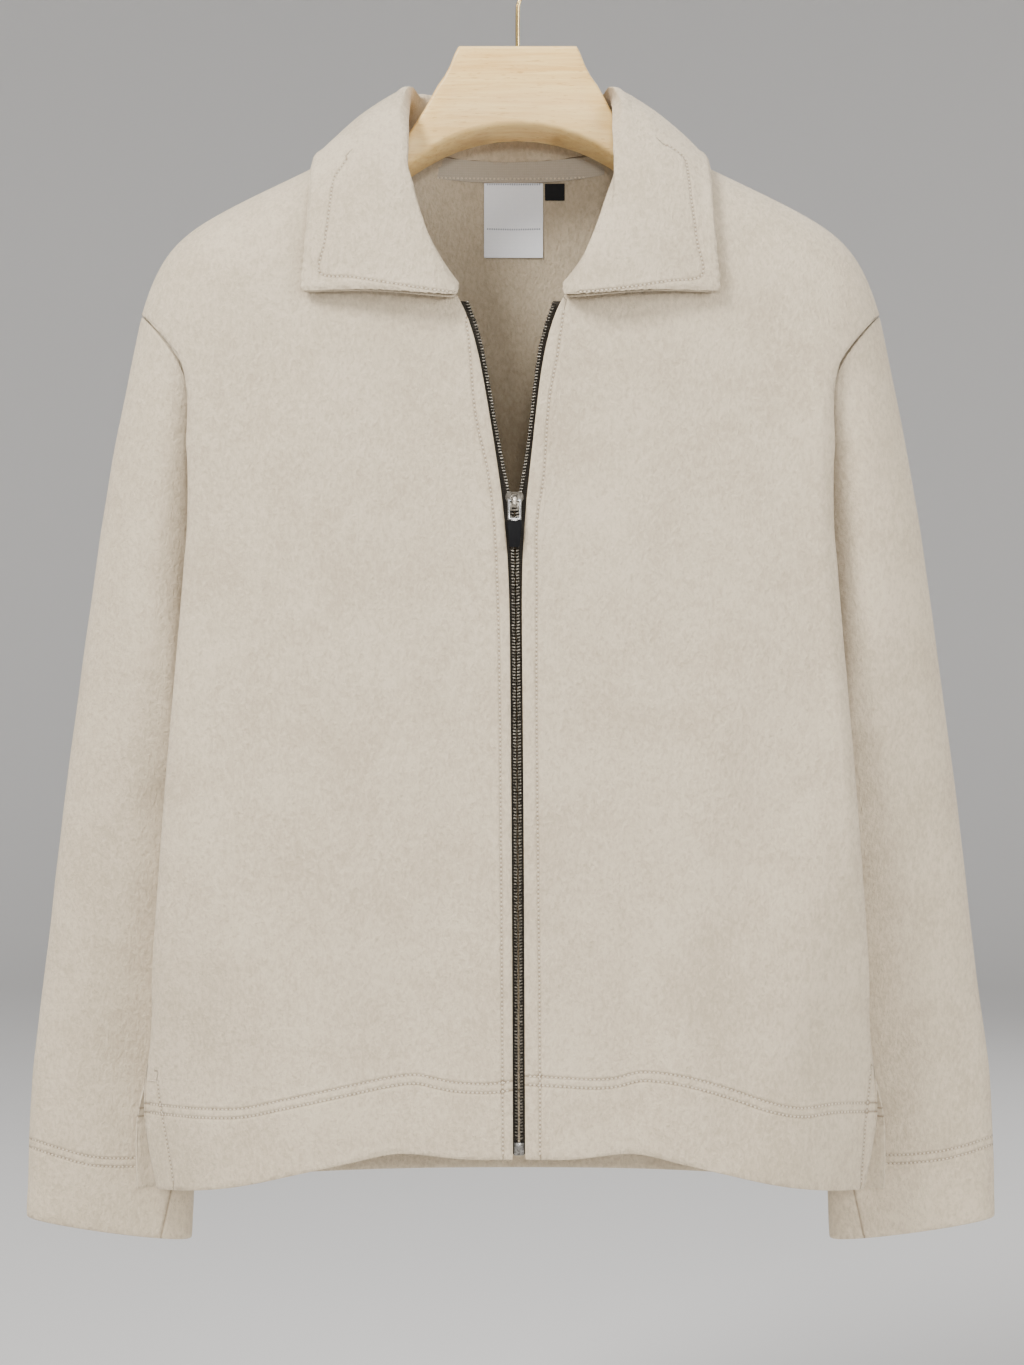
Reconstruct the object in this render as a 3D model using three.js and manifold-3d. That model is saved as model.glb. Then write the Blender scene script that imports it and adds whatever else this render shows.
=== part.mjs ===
// A suede zip jacket hanging on a wooden hanger, in millimetres, +Z up.
// X runs to the right seen from the front and Y away from the viewer. The origin is the point
// inside the top of the hanger's hook, where a rail carries it. "drop" is the distance below it,
// and "half" is the distance from the jacket's middle, the same for its two sides.
import * as THREE from "three";
import { mergeVertices } from "three/addons/utils/BufferGeometryUtils.js";
import Module from "manifold-3d";

const wasm = await Module();
wasm.setup();

const { lerp, smoothstep: smooth, clamp } = THREE.MathUtils;
const point = (x, y, z) => new THREE.Vector3(x, y, z);
const range = (from, to, count) => Array.from({ length: count }, (_, i) => lerp(from, to, i / (count - 1)));

// Driving dimensions
const clothThickness = 1.8;
const foldedThickness = 3.4; // where an edge is turned in and topstitched
const seamGap = 0.35;
const jacketMiddle = -4.5; // the jacket hangs a little to one side of the hook
const neckDrop = 253; // where the front edges meet the collar
const shoulderTipDrop = 256;
const underarmDrop = 450;
const rollRadius = 60; // how far the cloth takes to round over the shoulder
const foldInset = 8;
const foldReach = 14;
const frontHemDrop = 792;
const backNeckDrop = 151;
const backHemDrop = 820;
const sideHemDrop = 822;

// Reads a short table of rows by a smooth curve through them that never overshoots a row.
function curveTable(columns, rows) {
  const keys = rows.map((row) => row[0]);
  const table = {};
  columns.split(" ").forEach((name, column) => {
    if (column === 0) return;
    const values = rows.map((row) => row[column]);
    const rises = keys.slice(1).map((key, i) => (values[i + 1] - values[i]) / (key - keys[i]));
    const slopes = keys.map((_, i) => {
      if (i === 0) return rises[0];
      if (i === keys.length - 1) return rises[i - 1];
      const product = rises[i - 1] * rises[i];
      return product <= 0 ? 0 : (2 * product) / (rises[i - 1] + rises[i]);
    });
    table[name] = (at) => {
      const key = clamp(at, keys[0], keys[keys.length - 1]);
      let i = 0;
      while (i < keys.length - 2 && key > keys[i + 1]) i += 1;
      const span = keys[i + 1] - keys[i];
      const t = (key - keys[i]) / span;
      const rise = values[i + 1] - values[i];
      const start = slopes[i] * span;
      const end = slopes[i + 1] * span;
      return values[i] + start * t + (3 * rise - 2 * start - end) * t * t + (start + end - 2 * rise) * t ** 3;
    };
  });
  return table;
}

// The shoulder line, from the neck point over the hanger's end to the top of the sleeve seam
const shoulderRows = [
  [80, 138], [105, 150.5], [130, 163.3], [156, 175.6], [182.5, 188.6], [205, 201.3],
  [216, 210], [223, 218], [229, 228], [234, 240.5], [239.5, shoulderTipDrop],
];
const shoulder = curveTable("half drop", [[0, 98], ...shoulderRows]);

// The sleeve: the outer line, the inner line, and the middle and half size in depth of each ring
const sleeveRings = curveTable("s outHalf outDrop inHalf inDrop middle depth", [
  [0, 240.3, 257, 181, 452, 1, 38],
  [0.08, 249.5, 299, 183, 480, 3, 38],
  [0.2, 261, 357, 185, 522, 8, 37],
  [0.35, 274, 437, 189, 582, 15, 35],
  [0.5, 285.5, 512, 196, 642, 22, 32],
  [0.65, 297, 590, 205, 702, 29, 28],
  [0.8, 307.5, 673, 209, 765, 35, 24],
  [0.92, 319, 765, 212, 822, 39, 20],
  [1, 322.5, 851, 213.5, 866, 41, 17],
]);

// The front's crisp side fold, and the side seam tucked in behind it; at the vent they meet
const frontFold = curveTable("drop half forward", [
  [256, 239, 40], [270, 224, 42], [284, 212, 43], [300, 204.5, 43], [317, 203.3, 43],
  [380, 204.4, 42], [443, 209.2, 42], [507, 215.5, 42], [570, 221.2, 42], [633, 226, 38],
  [665, 228.5, 32], [698, 230.8, 25], [731, 233.5, 15], [751, 235.7, 10], [771, 235.7, 9],
  [797, 232.5, 9], [sideHemDrop, 227, 10],
]);
const sideSeam = curveTable("drop half depth", [
  [256, 239.5, -1], [270, 225.5, -25], [284, 213.5, -38], [300, 205, -41], [320, 197, -33],
  [345, 191, -23], [380, 185.5, -12], [415, 181.5, -5], [underarmDrop, 178, 0], [500, 175, 2],
  [560, 174.5, 2], [600, 177, 1], [640, 185, -1.5], [680, 200, -4.5], [720, 222, -6],
  [751, 235.7, -10], [771, 235.7, -9], [797, 232.5, -9], [sideHemDrop, 227, -10],
]);

// The back's armhole seam and side
const backFold = curveTable("drop half depth", [
  [256, 238.5, 34], [270, 228, 36], [284, 218.5, 37], [300, 210, 38], [330, 200, 38],
  [370, 192, 38], [450, 186, 38], [560, 181, 38], [600, 182, 36], [640, 188, 29], [680, 201, 12],
  [720, 222.5, -3.4], [751, 235.5, -5.5], [765, 240.5, 0], [793, 244, 3], [825, 243, 3],
]);
const backSeam = curveTable("drop half depth", [
  [256, 239.5, 1], [270, 230, 22], [284, 221, 31], [300, 212, 36], [330, 201.5, 37],
  [370, 191, 31], [410, 184, 18], [underarmDrop, 178.5, 1.6], [500, 175.5, 3.6],
  [560, 175, 3.6], [600, 177.5, 2.6], [640, 185.5, 0.1], [680, 201, -2.9], [720, 223, -4.4],
  [751, 236, -6.5], [765, 240.7, 0], [793, 244.2, 3], [825, 243.2, 3],
]);

// The middle of each side, measured forward or back of the hook's plane
const frontMiddle = curveTable("drop forward", [
  [140, 46], [253, 50], [383, 53], [450, 54], [600, 58], [700, 61], [frontHemDrop, 66],
]);
const backMiddle = curveTable("drop back", [[140, 38], [200, 42], [300, 45], [600, 46], [820, 46]]);

// The front edge and the zip between the two
const frontEdge = curveTable("drop half", [
  [neckDrop, 31], [274, 23.5], [287, 20.4], [299, 18.5], [318, 15.7], [337, 13.2], [356, 10.7],
  [381, 7.2], [412, 4.4], [444, 3.8], [frontHemDrop, 3.8],
]);
const teethEdge = curveTable("drop half", [
  [neckDrop, 27.2], [274, 19.7], [287, 16.6], [299, 14.7], [318, 11.9], [337, 9.3], [356, 6.2],
  [376, 2.5], [388, 0.16], [frontHemDrop, 0.16],
]);
const zipLine = curveTable("drop x", [
  [neckDrop, -4.5], [300, -4], [350, -2.5], [412, -1.7], [500, -0.8], [600, 0], [frontHemDrop, 0.8],
]);
const hemLine = curveTable("half drop", [
  [0, frontHemDrop], [40, 792.3], [71, 788.5], [88, 792], [129, 801.3], [171, 812.8], [199, 818.3],
  [227, sideHemDrop],
]);

// A place on the jacket's left or right: the zip isn't quite in the jacket's middle.
function place(side, half, drop, y) {
  const middle = lerp(zipLine.x(drop), jacketMiddle, smooth(half, 20, 160));
  return point(middle + side * half, y, -drop);
}

// The outline of shoulder and sleeve, and a place's distance inside it
const outline = [[0, 98], [40, 118], ...shoulderRows, [249.5, 299], [261, 357]];
function insideOutline(half, drop) {
  let nearest = Infinity;
  for (let i = 1; i < outline.length; i += 1) {
    const [ax, az] = outline[i - 1];
    const [bx, bz] = outline[i];
    const along = ((half - ax) * (bx - ax) + (drop - az) * (bz - az)) / ((bx - ax) ** 2 + (bz - az) ** 2);
    const t = clamp(along, 0, 1);
    nearest = Math.min(nearest, Math.hypot(half - lerp(ax, bx, t), drop - lerp(az, bz, t)));
  }
  return nearest;
}
function shoulderRound(half, drop) {
  const t = clamp(insideOutline(half, drop) / rollRadius, 0, 1);
  return Math.sqrt(1 - (1 - t) ** 2);
}

// Soft folds of the front: a trough that runs up from the hem on each side of the zip
const hemTrough = { half: 71, width: 24, depth: 8, top: 560 };
function frontFolds(half, drop) {
  const across = Math.exp(-(((half - hemTrough.half) / hemTrough.width) ** 2));
  return hemTrough.depth * across * smooth(drop, hemTrough.top, frontHemDrop);
}

// How far back or forward the two large faces of the body lie
function frontDepth(half, drop) {
  const ratio = clamp(half / frontFold.half(drop), 0, 1);
  const forward = lerp(frontMiddle.forward(drop), frontFold.forward(drop), ratio ** 4);
  return -forward * shoulderRound(half, drop) + frontFolds(half, drop);
}
function backDepth(half, drop) {
  const ratio = clamp(half / backFold.half(drop), 0, 1);
  const sharpness = lerp(6, 3.2, smooth(drop, 640, 750));
  const back = lerp(backMiddle.back(drop), backFold.depth(drop), ratio ** sharpness);
  return back * shoulderRound(half, drop);
}

// Builds a mesh geometry from points and triangles, and turns it to face out.
function closedGeometry(points, triangles) {
  let volume = 0;
  for (const [a, b, c] of triangles) {
    volume += points[a].dot(points[b].clone().cross(points[c]));
  }
  const index = triangles.flatMap(([a, b, c]) => (volume < 0 ? [a, c, b] : [a, b, c]));
  const geometry = new THREE.BufferGeometry();
  geometry.setAttribute("position", new THREE.Float32BufferAttribute(points.flatMap((p) => p.toArray()), 3));
  geometry.setIndex(index);
  geometry.computeVertexNormals();
  return geometry;
}

// A cloth wall: rows of points become two skins, from `low` to `high` along the surface's normal.
// With `tube` the last column joins the first.
function clothWall(rows, low, high, tube = false) {
  const count = rows.length;
  const width = rows[0].length;
  const across = (j) => (tube ? (j + width) % width : clamp(j, 0, width - 1));
  const along = (i) => clamp(i, 0, count - 1);
  const points = [];
  for (let i = 0; i < count; i += 1) {
    for (let j = 0; j < width; j += 1) {
      const here = rows[i][j];
      const sideways = rows[i][across(j + 1)].clone().sub(rows[i][across(j - 1)]);
      const down = rows[along(i + 1)][j].clone().sub(rows[along(i - 1)][j]);
      const normal = sideways.cross(down).normalize();
      const [a, b] = [low(i, j), high(i, j)];
      points.push(here.clone().addScaledVector(normal, a), here.clone().addScaledVector(normal, b));
    }
  }
  const at = (i, j, skin) => 2 * (i * width + across(j)) + skin;
  const triangles = [];
  const quad = (a, b, c, d) => triangles.push([a, b, c], [a, c, d]);
  const columns = tube ? width : width - 1;
  for (let i = 0; i < count - 1; i += 1) {
    for (let j = 0; j < columns; j += 1) {
      quad(at(i, j, 0), at(i, j + 1, 0), at(i + 1, j + 1, 0), at(i + 1, j, 0));
      quad(at(i, j, 1), at(i + 1, j, 1), at(i + 1, j + 1, 1), at(i, j + 1, 1));
    }
    if (!tube) {
      quad(at(i, 0, 0), at(i + 1, 0, 0), at(i + 1, 0, 1), at(i, 0, 1));
      quad(at(i, width - 1, 0), at(i, width - 1, 1), at(i + 1, width - 1, 1), at(i + 1, width - 1, 0));
    }
  }
  for (let j = 0; j < columns; j += 1) {
    quad(at(0, j, 0), at(0, j, 1), at(0, j + 1, 1), at(0, j + 1, 0));
    quad(at(count - 1, j, 0), at(count - 1, j + 1, 0), at(count - 1, j + 1, 1), at(count - 1, j, 1));
  }
  return closedGeometry(points, triangles);
}

// A solid through a row of closed sections, with flat ends.
function loft(sections) {
  const width = sections[0].length;
  const points = sections.flat();
  const triangles = [];
  for (let i = 0; i < sections.length - 1; i += 1) {
    for (let j = 0; j < width; j += 1) {
      const next = (j + 1) % width;
      const [a, b, c, d] = [i * width + j, i * width + next, (i + 1) * width + next, (i + 1) * width + j];
      triangles.push([a, b, c], [a, c, d]);
    }
  }
  const last = (sections.length - 1) * width;
  for (let j = 1; j < width - 1; j += 1) {
    triangles.push([0, j + 1, j], [last, last + j, last + j + 1]);
  }
  return closedGeometry(points, triangles);
}

// A thin strip with flat faces: each section is two ends of its width, and low and high in depth.
const stripSections = (stations, corners) => stations.map((at) => {
  const { a, b, low, high } = corners(at);
  const front = [point(a.x, a.y + low, a.z), point(b.x, b.y + low, b.z)];
  const behind = [point(b.x, b.y + high, b.z), point(a.x, a.y + high, a.z)];
  return [...front, ...behind];
});

// A solid for joining and cutting, and its geometry back again.
function solid(geometry) {
  const bare = geometry.clone();
  bare.deleteAttribute("normal");
  bare.deleteAttribute("uv");
  const merged = mergeVertices(bare, 1e-4);
  const { array } = merged.attributes.position;
  const corners = Array.from(merged.index.array);
  const kept = corners.flatMap((_, i) => {
    if (i % 3) return [];
    const [a, b, c] = corners.slice(i, i + 3);
    return a === b || b === c || c === a ? [] : [a, b, c];
  });
  const triVerts = new Uint32Array(kept);
  return new wasm.Manifold(new wasm.Mesh({ numProp: 3, vertProperties: array, triVerts }));
}
function geometryOf(manifold) {
  const { vertProperties, triVerts } = manifold.getMesh();
  const geometry = new THREE.BufferGeometry();
  geometry.setAttribute("position", new THREE.BufferAttribute(vertProperties, 3));
  geometry.setIndex(new THREE.BufferAttribute(triVerts, 1));
  geometry.computeVertexNormals();
  return geometry;
}

// Blends a patch from its four border curves; each gives [half, drop] for 0 to 1.
function patch(top, bottom, left, right) {
  return (u, v) => [0, 1].map((k) => {
    const straight = lerp(top(u)[k], bottom(u)[k], v) + lerp(left(v)[k], right(v)[k], u);
    const corners = lerp(lerp(top(0)[k], top(1)[k], u), lerp(bottom(0)[k], bottom(1)[k], u), v);
    return straight - corners;
  });
}

// A curve through [half, drop] rows, read by its length.
function spread(rows) {
  const points = rows.map(([half, drop]) => point(half, drop, 0));
  const path = new THREE.CatmullRomCurve3(points, false, "centripetal");
  return (t) => {
    const { x, y } = path.getPointAt(clamp(t, 0, 1));
    return [x, y];
  };
}

// Rows of the body's panels, close together where the cloth rounds over the shoulder
const bodyRows = [
  0, 0.004, 0.014, 0.03, 0.055, 0.085, 0.12, 0.155, 0.19, 0.235, 0.285, 0.34, 0.4, 0.46, 0.52, 0.58,
  0.64, 0.7, 0.755, 0.8, 0.84, 0.88, 0.917, 0.926, 0.96, 1,
];
const hemStart = 0.926; // the share of the rows above the turned hem
const wrapSteps = [0.25, 0.5, 0.75, 1];

// How much the side is folded in behind the front: none at the armhole's top and at the vent
const foldAmount = (drop) => smooth(drop, 285, 345) * (1 - smooth(drop, 680, 745));

function bezier(a, b, c, t) {
  return a.clone().multiplyScalar((1 - t) ** 2).addScaledVector(b, 2 * t * (1 - t)).addScaledVector(c, t * t);
}

// One row of a panel's side: it rounds the fold and runs back to the seam.
function wrapRow(side, start, fold, seam, drop, away) {
  const amount = foldAmount(drop);
  const control = point(
    lerp((start.half + seam.half) / 2, fold.half + foldReach * away, amount),
    lerp((start.y + seam.y) / 2, fold.y, amount),
    0,
  );
  return wrapSteps.map((t) => {
    const at = bezier(point(start.half, start.y, 0), control, point(seam.half, seam.y, 0), t);
    return place(side, at.x, drop, at.y);
  });
}

const frontTopLine = spread(shoulderRows);
const neckCurve = spread([[80, 138], [78.5, 158], [73, 182], [63, 208], [50, 232], [31, neckDrop]]);
const neckShare = 0.19; // share of the front's rows that end at the neckline
function frontInner(v) {
  if (v < neckShare) return neckCurve(v / neckShare);
  const drop = lerp(neckDrop, frontHemDrop, (v - neckShare) / (1 - neckShare));
  return [frontEdge.half(drop), drop];
}
const frontPatch = patch(
  frontTopLine,
  (u) => {
    const half = lerp(3.8, 227, u);
    return [half, hemLine.drop(half)];
  },
  frontInner,
  (v) => {
    const drop = lerp(shoulderTipDrop, sideHemDrop, v);
    return [lerp(239.5, frontFold.half(drop), smooth(v, 0, 0.01)), drop];
  },
);
const frontColumns = [0, 0.045, 0.06, 0.14, 0.23, 0.32, 0.41, 0.5, 0.6, 0.7, 0.8, 0.9, 0.96, 1];

// Both sleeve seams run round the armhole at these places.
function frontSeamY(drop) {
  const half = sideSeam.half(drop);
  return lerp(frontDepth(half, drop) + 0.8, sideSeam.depth(drop), smooth(drop, 292, 325));
}
function backSeamY(drop) {
  const half = backSeam.half(drop);
  return lerp(backDepth(half, drop), backSeam.depth(drop), smooth(drop, 330, 375));
}

// Past the collar both panels meet over the hanger, so their top rows lie on the shoulder line itself.
const apartFromLine = (v, half) => (v === 0 ? 1 - smooth(half, 86, 102) : 1);

function frontRows(side) {
  return bodyRows.map((v) => {
    const sideDrop = lerp(shoulderTipDrop, sideHemDrop, v);
    const inset = 1.2 + (foldInset - 1.2) * foldAmount(sideDrop);
    const row = frontColumns.map((u) => {
      const [half, drop] = frontPatch(u, v);
      const pulled = half - inset * u ** 6;
      const seamShift = seamGap * (1 - smooth(v, 0, 0.02));
      const depth = frontDepth(v === 0 ? half : pulled, drop) * apartFromLine(v, half);
      return { half: pulled, drop, y: depth - seamShift };
    });
    const start = row[row.length - 1];
    const fold = { half: frontFold.half(sideDrop), y: frontDepth(frontFold.half(sideDrop), sideDrop) + 6 };
    const atVent = smooth(sideDrop, 720, 751);
    const seam = {
      half: sideSeam.half(sideDrop),
      y: lerp(frontSeamY(sideDrop), frontDepth(frontFold.half(sideDrop), sideDrop), atVent),
    };
    if (v === 0) seam.y = -seamGap;
    const flat = row.map(({ half, drop, y }) => place(side, half, drop, y));
    return [...flat, ...wrapRow(side, start, fold, seam, start.drop, 1)];
  });
}

function frontThickness(i, j) {
  const v = bodyRows[i];
  const drop = lerp(shoulderTipDrop, sideHemDrop, v);
  const atHem = v >= hemStart;
  const atEdge = j <= 1 && v > neckShare;
  const atVent = j >= frontColumns.length && drop > 751;
  return (atHem || atEdge || atVent ? foldedThickness : clothThickness) / 2;
}

// The back, from one side seam to the other
const backTopHalf = spread([[0, backNeckDrop], [30, 150], [58, 146.5], [74, 141], ...shoulderRows]);
const backPatch = patch(
  backTopHalf,
  (u) => [lerp(0, 243, u), lerp(backHemDrop, 825, u ** 2)],
  (v) => [0, lerp(backNeckDrop, backHemDrop, v)],
  (v) => {
    const drop = lerp(shoulderTipDrop, 825, v);
    return [lerp(239.5, backFold.half(drop), smooth(v, 0, 0.01)), drop];
  },
);
const backColumns = [0, 0.1, 0.2, 0.29, 0.38, 0.5, 0.64, 0.78, 0.9, 1];
function backHalfRow(side, v) {
  const sideDrop = lerp(shoulderTipDrop, 825, v);
  const amount = foldAmount(sideDrop);
  const inset = 1.2 + (foldInset - 1.2) * amount;
  const row = backColumns.map((u) => {
    const [half, drop] = backPatch(u, v);
    const pulled = half - inset * u ** 6;
    const seamShift = seamGap * (1 - smooth(v, 0, 0.02));
    const depth = backDepth(v === 0 ? half : pulled, drop) * apartFromLine(v, half);
    return { half: pulled, drop, y: depth + seamShift };
  });
  const start = row[row.length - 1];
  const fold = { half: backFold.half(sideDrop), y: backFold.depth(sideDrop) - 4 };
  const seam = { half: backSeam.half(sideDrop), y: backSeamY(sideDrop) };
  if (v === 0) seam.y = seamGap;
  const flat = row.map(({ half, drop, y }) => place(side, half, drop, y));
  return [...flat, ...wrapRow(side, start, fold, seam, start.drop, 0.4)];
}
function backRows() {
  return bodyRows.map((v) => {
    const right = backHalfRow(1, v);
    const left = backHalfRow(-1, v).slice(1).reverse();
    return [...left, ...right];
  });
}
function backThickness(i) {
  return (bodyRows[i] >= hemStart ? foldedThickness : clothThickness) / 2;
}

// The sleeve: its first ring is the armhole, and it turns into an oval tube.
const sleeveSteps = [
  0, 0.03, 0.08, 0.14, 0.2, 0.27, 0.35, 0.43, 0.51, 0.59, 0.67, 0.75, 0.83, 0.895, 0.905, 0.95, 1,
];
const sleeveSides = 22;
const squareness = 0.85;
function ovalPoint(angle, s) {
  const r = sleeveRings;
  const t = (1 - Math.cos(angle)) / 2;
  const sine = Math.sin(angle);
  const swell = Math.sign(sine) * Math.abs(sine) ** squareness;
  return {
    half: lerp(r.outHalf(s), r.inHalf(s), t),
    drop: lerp(r.outDrop(s), r.inDrop(s), t),
    y: r.middle(s) - r.depth(s) * swell,
  };
}
function armholePoint(angle) {
  const drop = lerp(shoulderTipDrop, underarmDrop, (1 - Math.cos(angle)) / 2);
  const hidden = smooth(drop, 290, 330);
  const front = Math.sin(angle) >= 0;
  const half = front ? sideSeam.half(drop) : backSeam.half(drop);
  const y = front ? frontSeamY(drop) : backSeamY(drop);
  const clearance = front ? { half: 2.6, y: 1.8 } : { half: 5, y: 2.6 };
  return {
    half: half + lerp(0.5, clearance.half, hidden),
    drop: drop + 1 + 7 * smooth(drop, 405, underarmDrop),
    y: y + clearance.y * hidden,
  };
}
// Behind the front's side fold the sleeve gives way to the cloth that runs back to the side seam.
const behindFold = 10;
function clearOfFold(at) {
  const { half, drop, y } = at;
  const foldHalf = frontFold.half(drop);
  const [seamHalf, seamY] = [sideSeam.half(drop), sideSeam.depth(drop)];
  const t = clamp((half - seamHalf) / (foldHalf - seamHalf), 0, 1);
  const wall = lerp(seamY, frontDepth(foldHalf, drop), t) + behindFold * Math.min(t * 4, 1);
  const amount = foldAmount(drop) * (1 - smooth(half, foldHalf + 7, foldHalf + 18));
  return { half, drop, y: lerp(y, Math.max(y, wall + 3), amount) };
}
function sleeveRows(side) {
  return sleeveSteps.map((s) => Array.from({ length: sleeveSides }, (_, k) => {
    const angle = (2 * Math.PI * k) / sleeveSides;
    const start = ovalPoint(angle, 0);
    const seam = armholePoint(angle);
    const oval = ovalPoint(angle, s);
    const hold = 1 - smooth(s, 0, 0.27);
    const at = clearOfFold({
      half: oval.half + (seam.half - start.half) * hold,
      drop: oval.drop + (seam.drop - start.drop) * hold,
      y: oval.y + (seam.y - start.y) * hold,
    });
    return place(side, at.half, at.drop, at.y);
  }));
}
const sleeveThickness = (i) => (sleeveSteps[i] >= 0.905 ? foldedThickness : clothThickness) / 2;

// The collar, half of it from the middle of the back (0) to the front edge (1): where it is sewn
// to the neck, where it rolls over, where its edge lies, and which way the roll faces in degrees.
const collarLift = 4.7;
const collarRoll = 4.9;
const collar = curveTable("u neckHalf neckDrop rollHalf rollY rollDrop face", [
  [0, 0, 150.3, 0, 45, 107, 180],
  [0.15, 30, 149.3, 28, 43, 107, 172],
  [0.3, 58, 145, 50, 35, 107, 152],
  [0.42, 75.5, 138.6, 62, 20, 108, 125],
  [0.52, 79, 135.8, 64.5, 0, 109, 90],
  [0.6, 79, 142.5, 65.8, -18, 118, 62],
  [0.68, 76.5, 160, 66, -33, 140, 38],
  [0.77, 70.5, 183, 64, -46, 170, 18],
  [0.87, 57, 211, 56.5, -54, 205, 6],
  [0.94, 44.4, 233, 44, -57.5, 233, 2],
  [1, 32.8, 245.8, 34.5, -59.5, 254.5, 0],
]);
const collarEdge = curveTable("u half drop side", [
  [0, 0, 172, 1], [0.15, 36, 171.5, 1], [0.3, 72, 170, 1], [0.42, 103, 165, 1], [0.52, 122, 159.5, 0],
  [0.62, 125, 183, -1], [0.74, 127, 210, -1], [0.86, 129, 233, -1], [0.94, 130.3, 245, -1],
  [1, 130.5, 251, -1],
]);
function overBody(side, half, drop, sign, lift) {
  const depth = sign < 0 ? frontDepth : backDepth;
  const step = 0.5;
  const y = depth(half, drop);
  const slopeHalf = (depth(half + step, drop) - y) / step;
  const slopeDrop = (depth(half, drop + step) - y) / step;
  const length = Math.hypot(slopeHalf, 1, slopeDrop);
  const shift = (lift * sign) / length;
  return place(side, half - slopeHalf * shift, drop - slopeDrop * shift, y + shift);
}
function collarSection(side, u) {
  const neckDepth = u < 0.52 ? backDepth : frontDepth;
  const [neckHalf, neckAt] = [collar.neckHalf(u), collar.neckDrop(u)];
  const neck = place(side, neckHalf, neckAt, neckDepth(neckHalf, neckAt));
  const roll = place(side, collar.rollHalf(u), collar.rollDrop(u), collar.rollY(u));
  const sign = u < 0.52 ? 1 : -1;
  const edgeHalf = collarEdge.half(u);
  const edgeDrop = Math.max(collarEdge.drop(u), shoulder.drop(edgeHalf) + 0.6);
  const edge = overBody(side, edgeHalf, edgeDrop, sign, collarLift);
  const turn = THREE.MathUtils.degToRad(collar.face(u));
  const outward = point(side * Math.sin(turn), -Math.cos(turn), 0);
  const inner = roll.clone().lerp(neck, 0.28).addScaledVector(outward, -collarRoll * 0.7);
  const outer = roll.clone().lerp(edge, 0.14).addScaledVector(outward, collarRoll * 0.9);
  const middle = outer.clone().lerp(edge, 0.5).addScaledVector(outward, 3).add(point(0, 0, 1.5));
  const path = new THREE.CatmullRomCurve3([neck, inner, roll, outer, middle, edge], false, "centripetal");
  return path;
}
// Keeps a point of the collar's fall at least the lift away from the body below it.
function liftOff(at, side) {
  const half = Math.abs(at.x - jacketMiddle);
  const drop = -at.z;
  if (drop < shoulder.drop(half)) {
    const missing = collarLift - insideOutline(half, drop);
    return missing > 0 ? at.clone().add(point(0, 0, missing)) : at;
  }
  const sign = at.y < 0 ? -1 : 1;
  const surface = overBody(side, half, drop, sign, 0);
  const raised = overBody(side, half, drop, sign, collarLift);
  const normal = raised.clone().sub(surface).normalize();
  const missing = collarLift - at.clone().sub(surface).dot(normal);
  return missing > 0 ? at.clone().addScaledVector(normal, missing) : at;
}
const collarPlaces = [0, 0.08, 0.16, 0.24, 0.32, 0.4, 0.47, 0.52, 0.57, 0.63, 0.7, 0.77, 0.83, 0.89, 0.94, 1];
const collarGrid = [0, 0.1, 0.2, 0.3, 0.37, 0.44, 0.52, 0.62, 0.74, 0.87, 1];
function collarRows() {
  const half = (side, places) => places.map((u) => {
    const path = collarSection(side, u);
    return collarGrid.map((t) => {
      const at = path.getPointAt(t);
      return u < 0.4 && -at.z < backNeckDrop ? at : at.clone().lerp(liftOff(at, side), smooth(t, 0.4, 0.56));
    });
  });
  const left = half(-1, [...collarPlaces].reverse());
  return [...left, ...half(1, collarPlaces.slice(1))];
}

// What is sewn inside the back of the neck
function insideBack(x, drop, inset) {
  const half = Math.abs(x - jacketMiddle);
  return overBody(x < jacketMiddle ? -1 : 1, half, drop, 1, -inset);
}
function flatLabel(left, right, top, bottom, inset, thickness) {
  const rows = [0, 0.25, 0.5, 0.75, 1].map((t) => [0, 0.5, 1].map((k) => (
    insideBack(lerp(left, right, k), lerp(top, bottom, t), inset)
  )));
  return clothWall(rows, () => -thickness / 2, () => thickness / 2);
}
const neckTape = { width: 10.5, reach: 57, rise: 4.8 };
function neckTapeRows() {
  return [0, 0.5, 1].map((t) => range(-neckTape.reach, neckTape.reach, 17).map((half) => {
    const line = backNeckDrop + 1 - neckTape.rise * (Math.abs(half) / neckTape.reach) ** 2.4;
    return insideBack(jacketMiddle + half, line + neckTape.width * t, clothThickness / 2 + 1.2);
  }));
}

// The zip: tapes behind the front edges, teeth along the tapes, and the slider
const tapeThickness = 0.8;
const tapeUnder = 9;
const teethWidth = 2.6;
const teethDepth = 2.4;
const stopTop = 781.4;
const sliderTop = 376;
const sliderLength = 12;
const sliderWidth = 11.4;
const zipY = (drop) => frontDepth(frontEdge.half(drop), drop);
const zipStations = [
  ...range(neckDrop + 2.5, 372, 9), ...range(380, 396, 3), ...range(430, stopTop - 0.4, 8),
];
function zipTape(side) {
  const stations = [...zipStations, frontHemDrop - 3];
  return loft(stripSections(stations, (drop) => ({
    a: place(side, teethEdge.half(drop) + 0.5, drop, zipY(drop)),
    b: place(side, frontEdge.half(drop) + tapeUnder, drop, zipY(drop)),
    low: foldedThickness / 2 + 0.45,
    high: foldedThickness / 2 + 0.45 + tapeThickness,
  })));
}
function zipChain(side) {
  return loft(stripSections(zipStations, (drop) => ({
    a: place(side, teethEdge.half(drop), drop, zipY(drop)),
    b: place(side, teethEdge.half(drop) + teethWidth, drop, zipY(drop)),
    low: foldedThickness / 2 + 0.15 - teethDepth,
    high: foldedThickness / 2 + 0.15,
  })));
}

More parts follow.
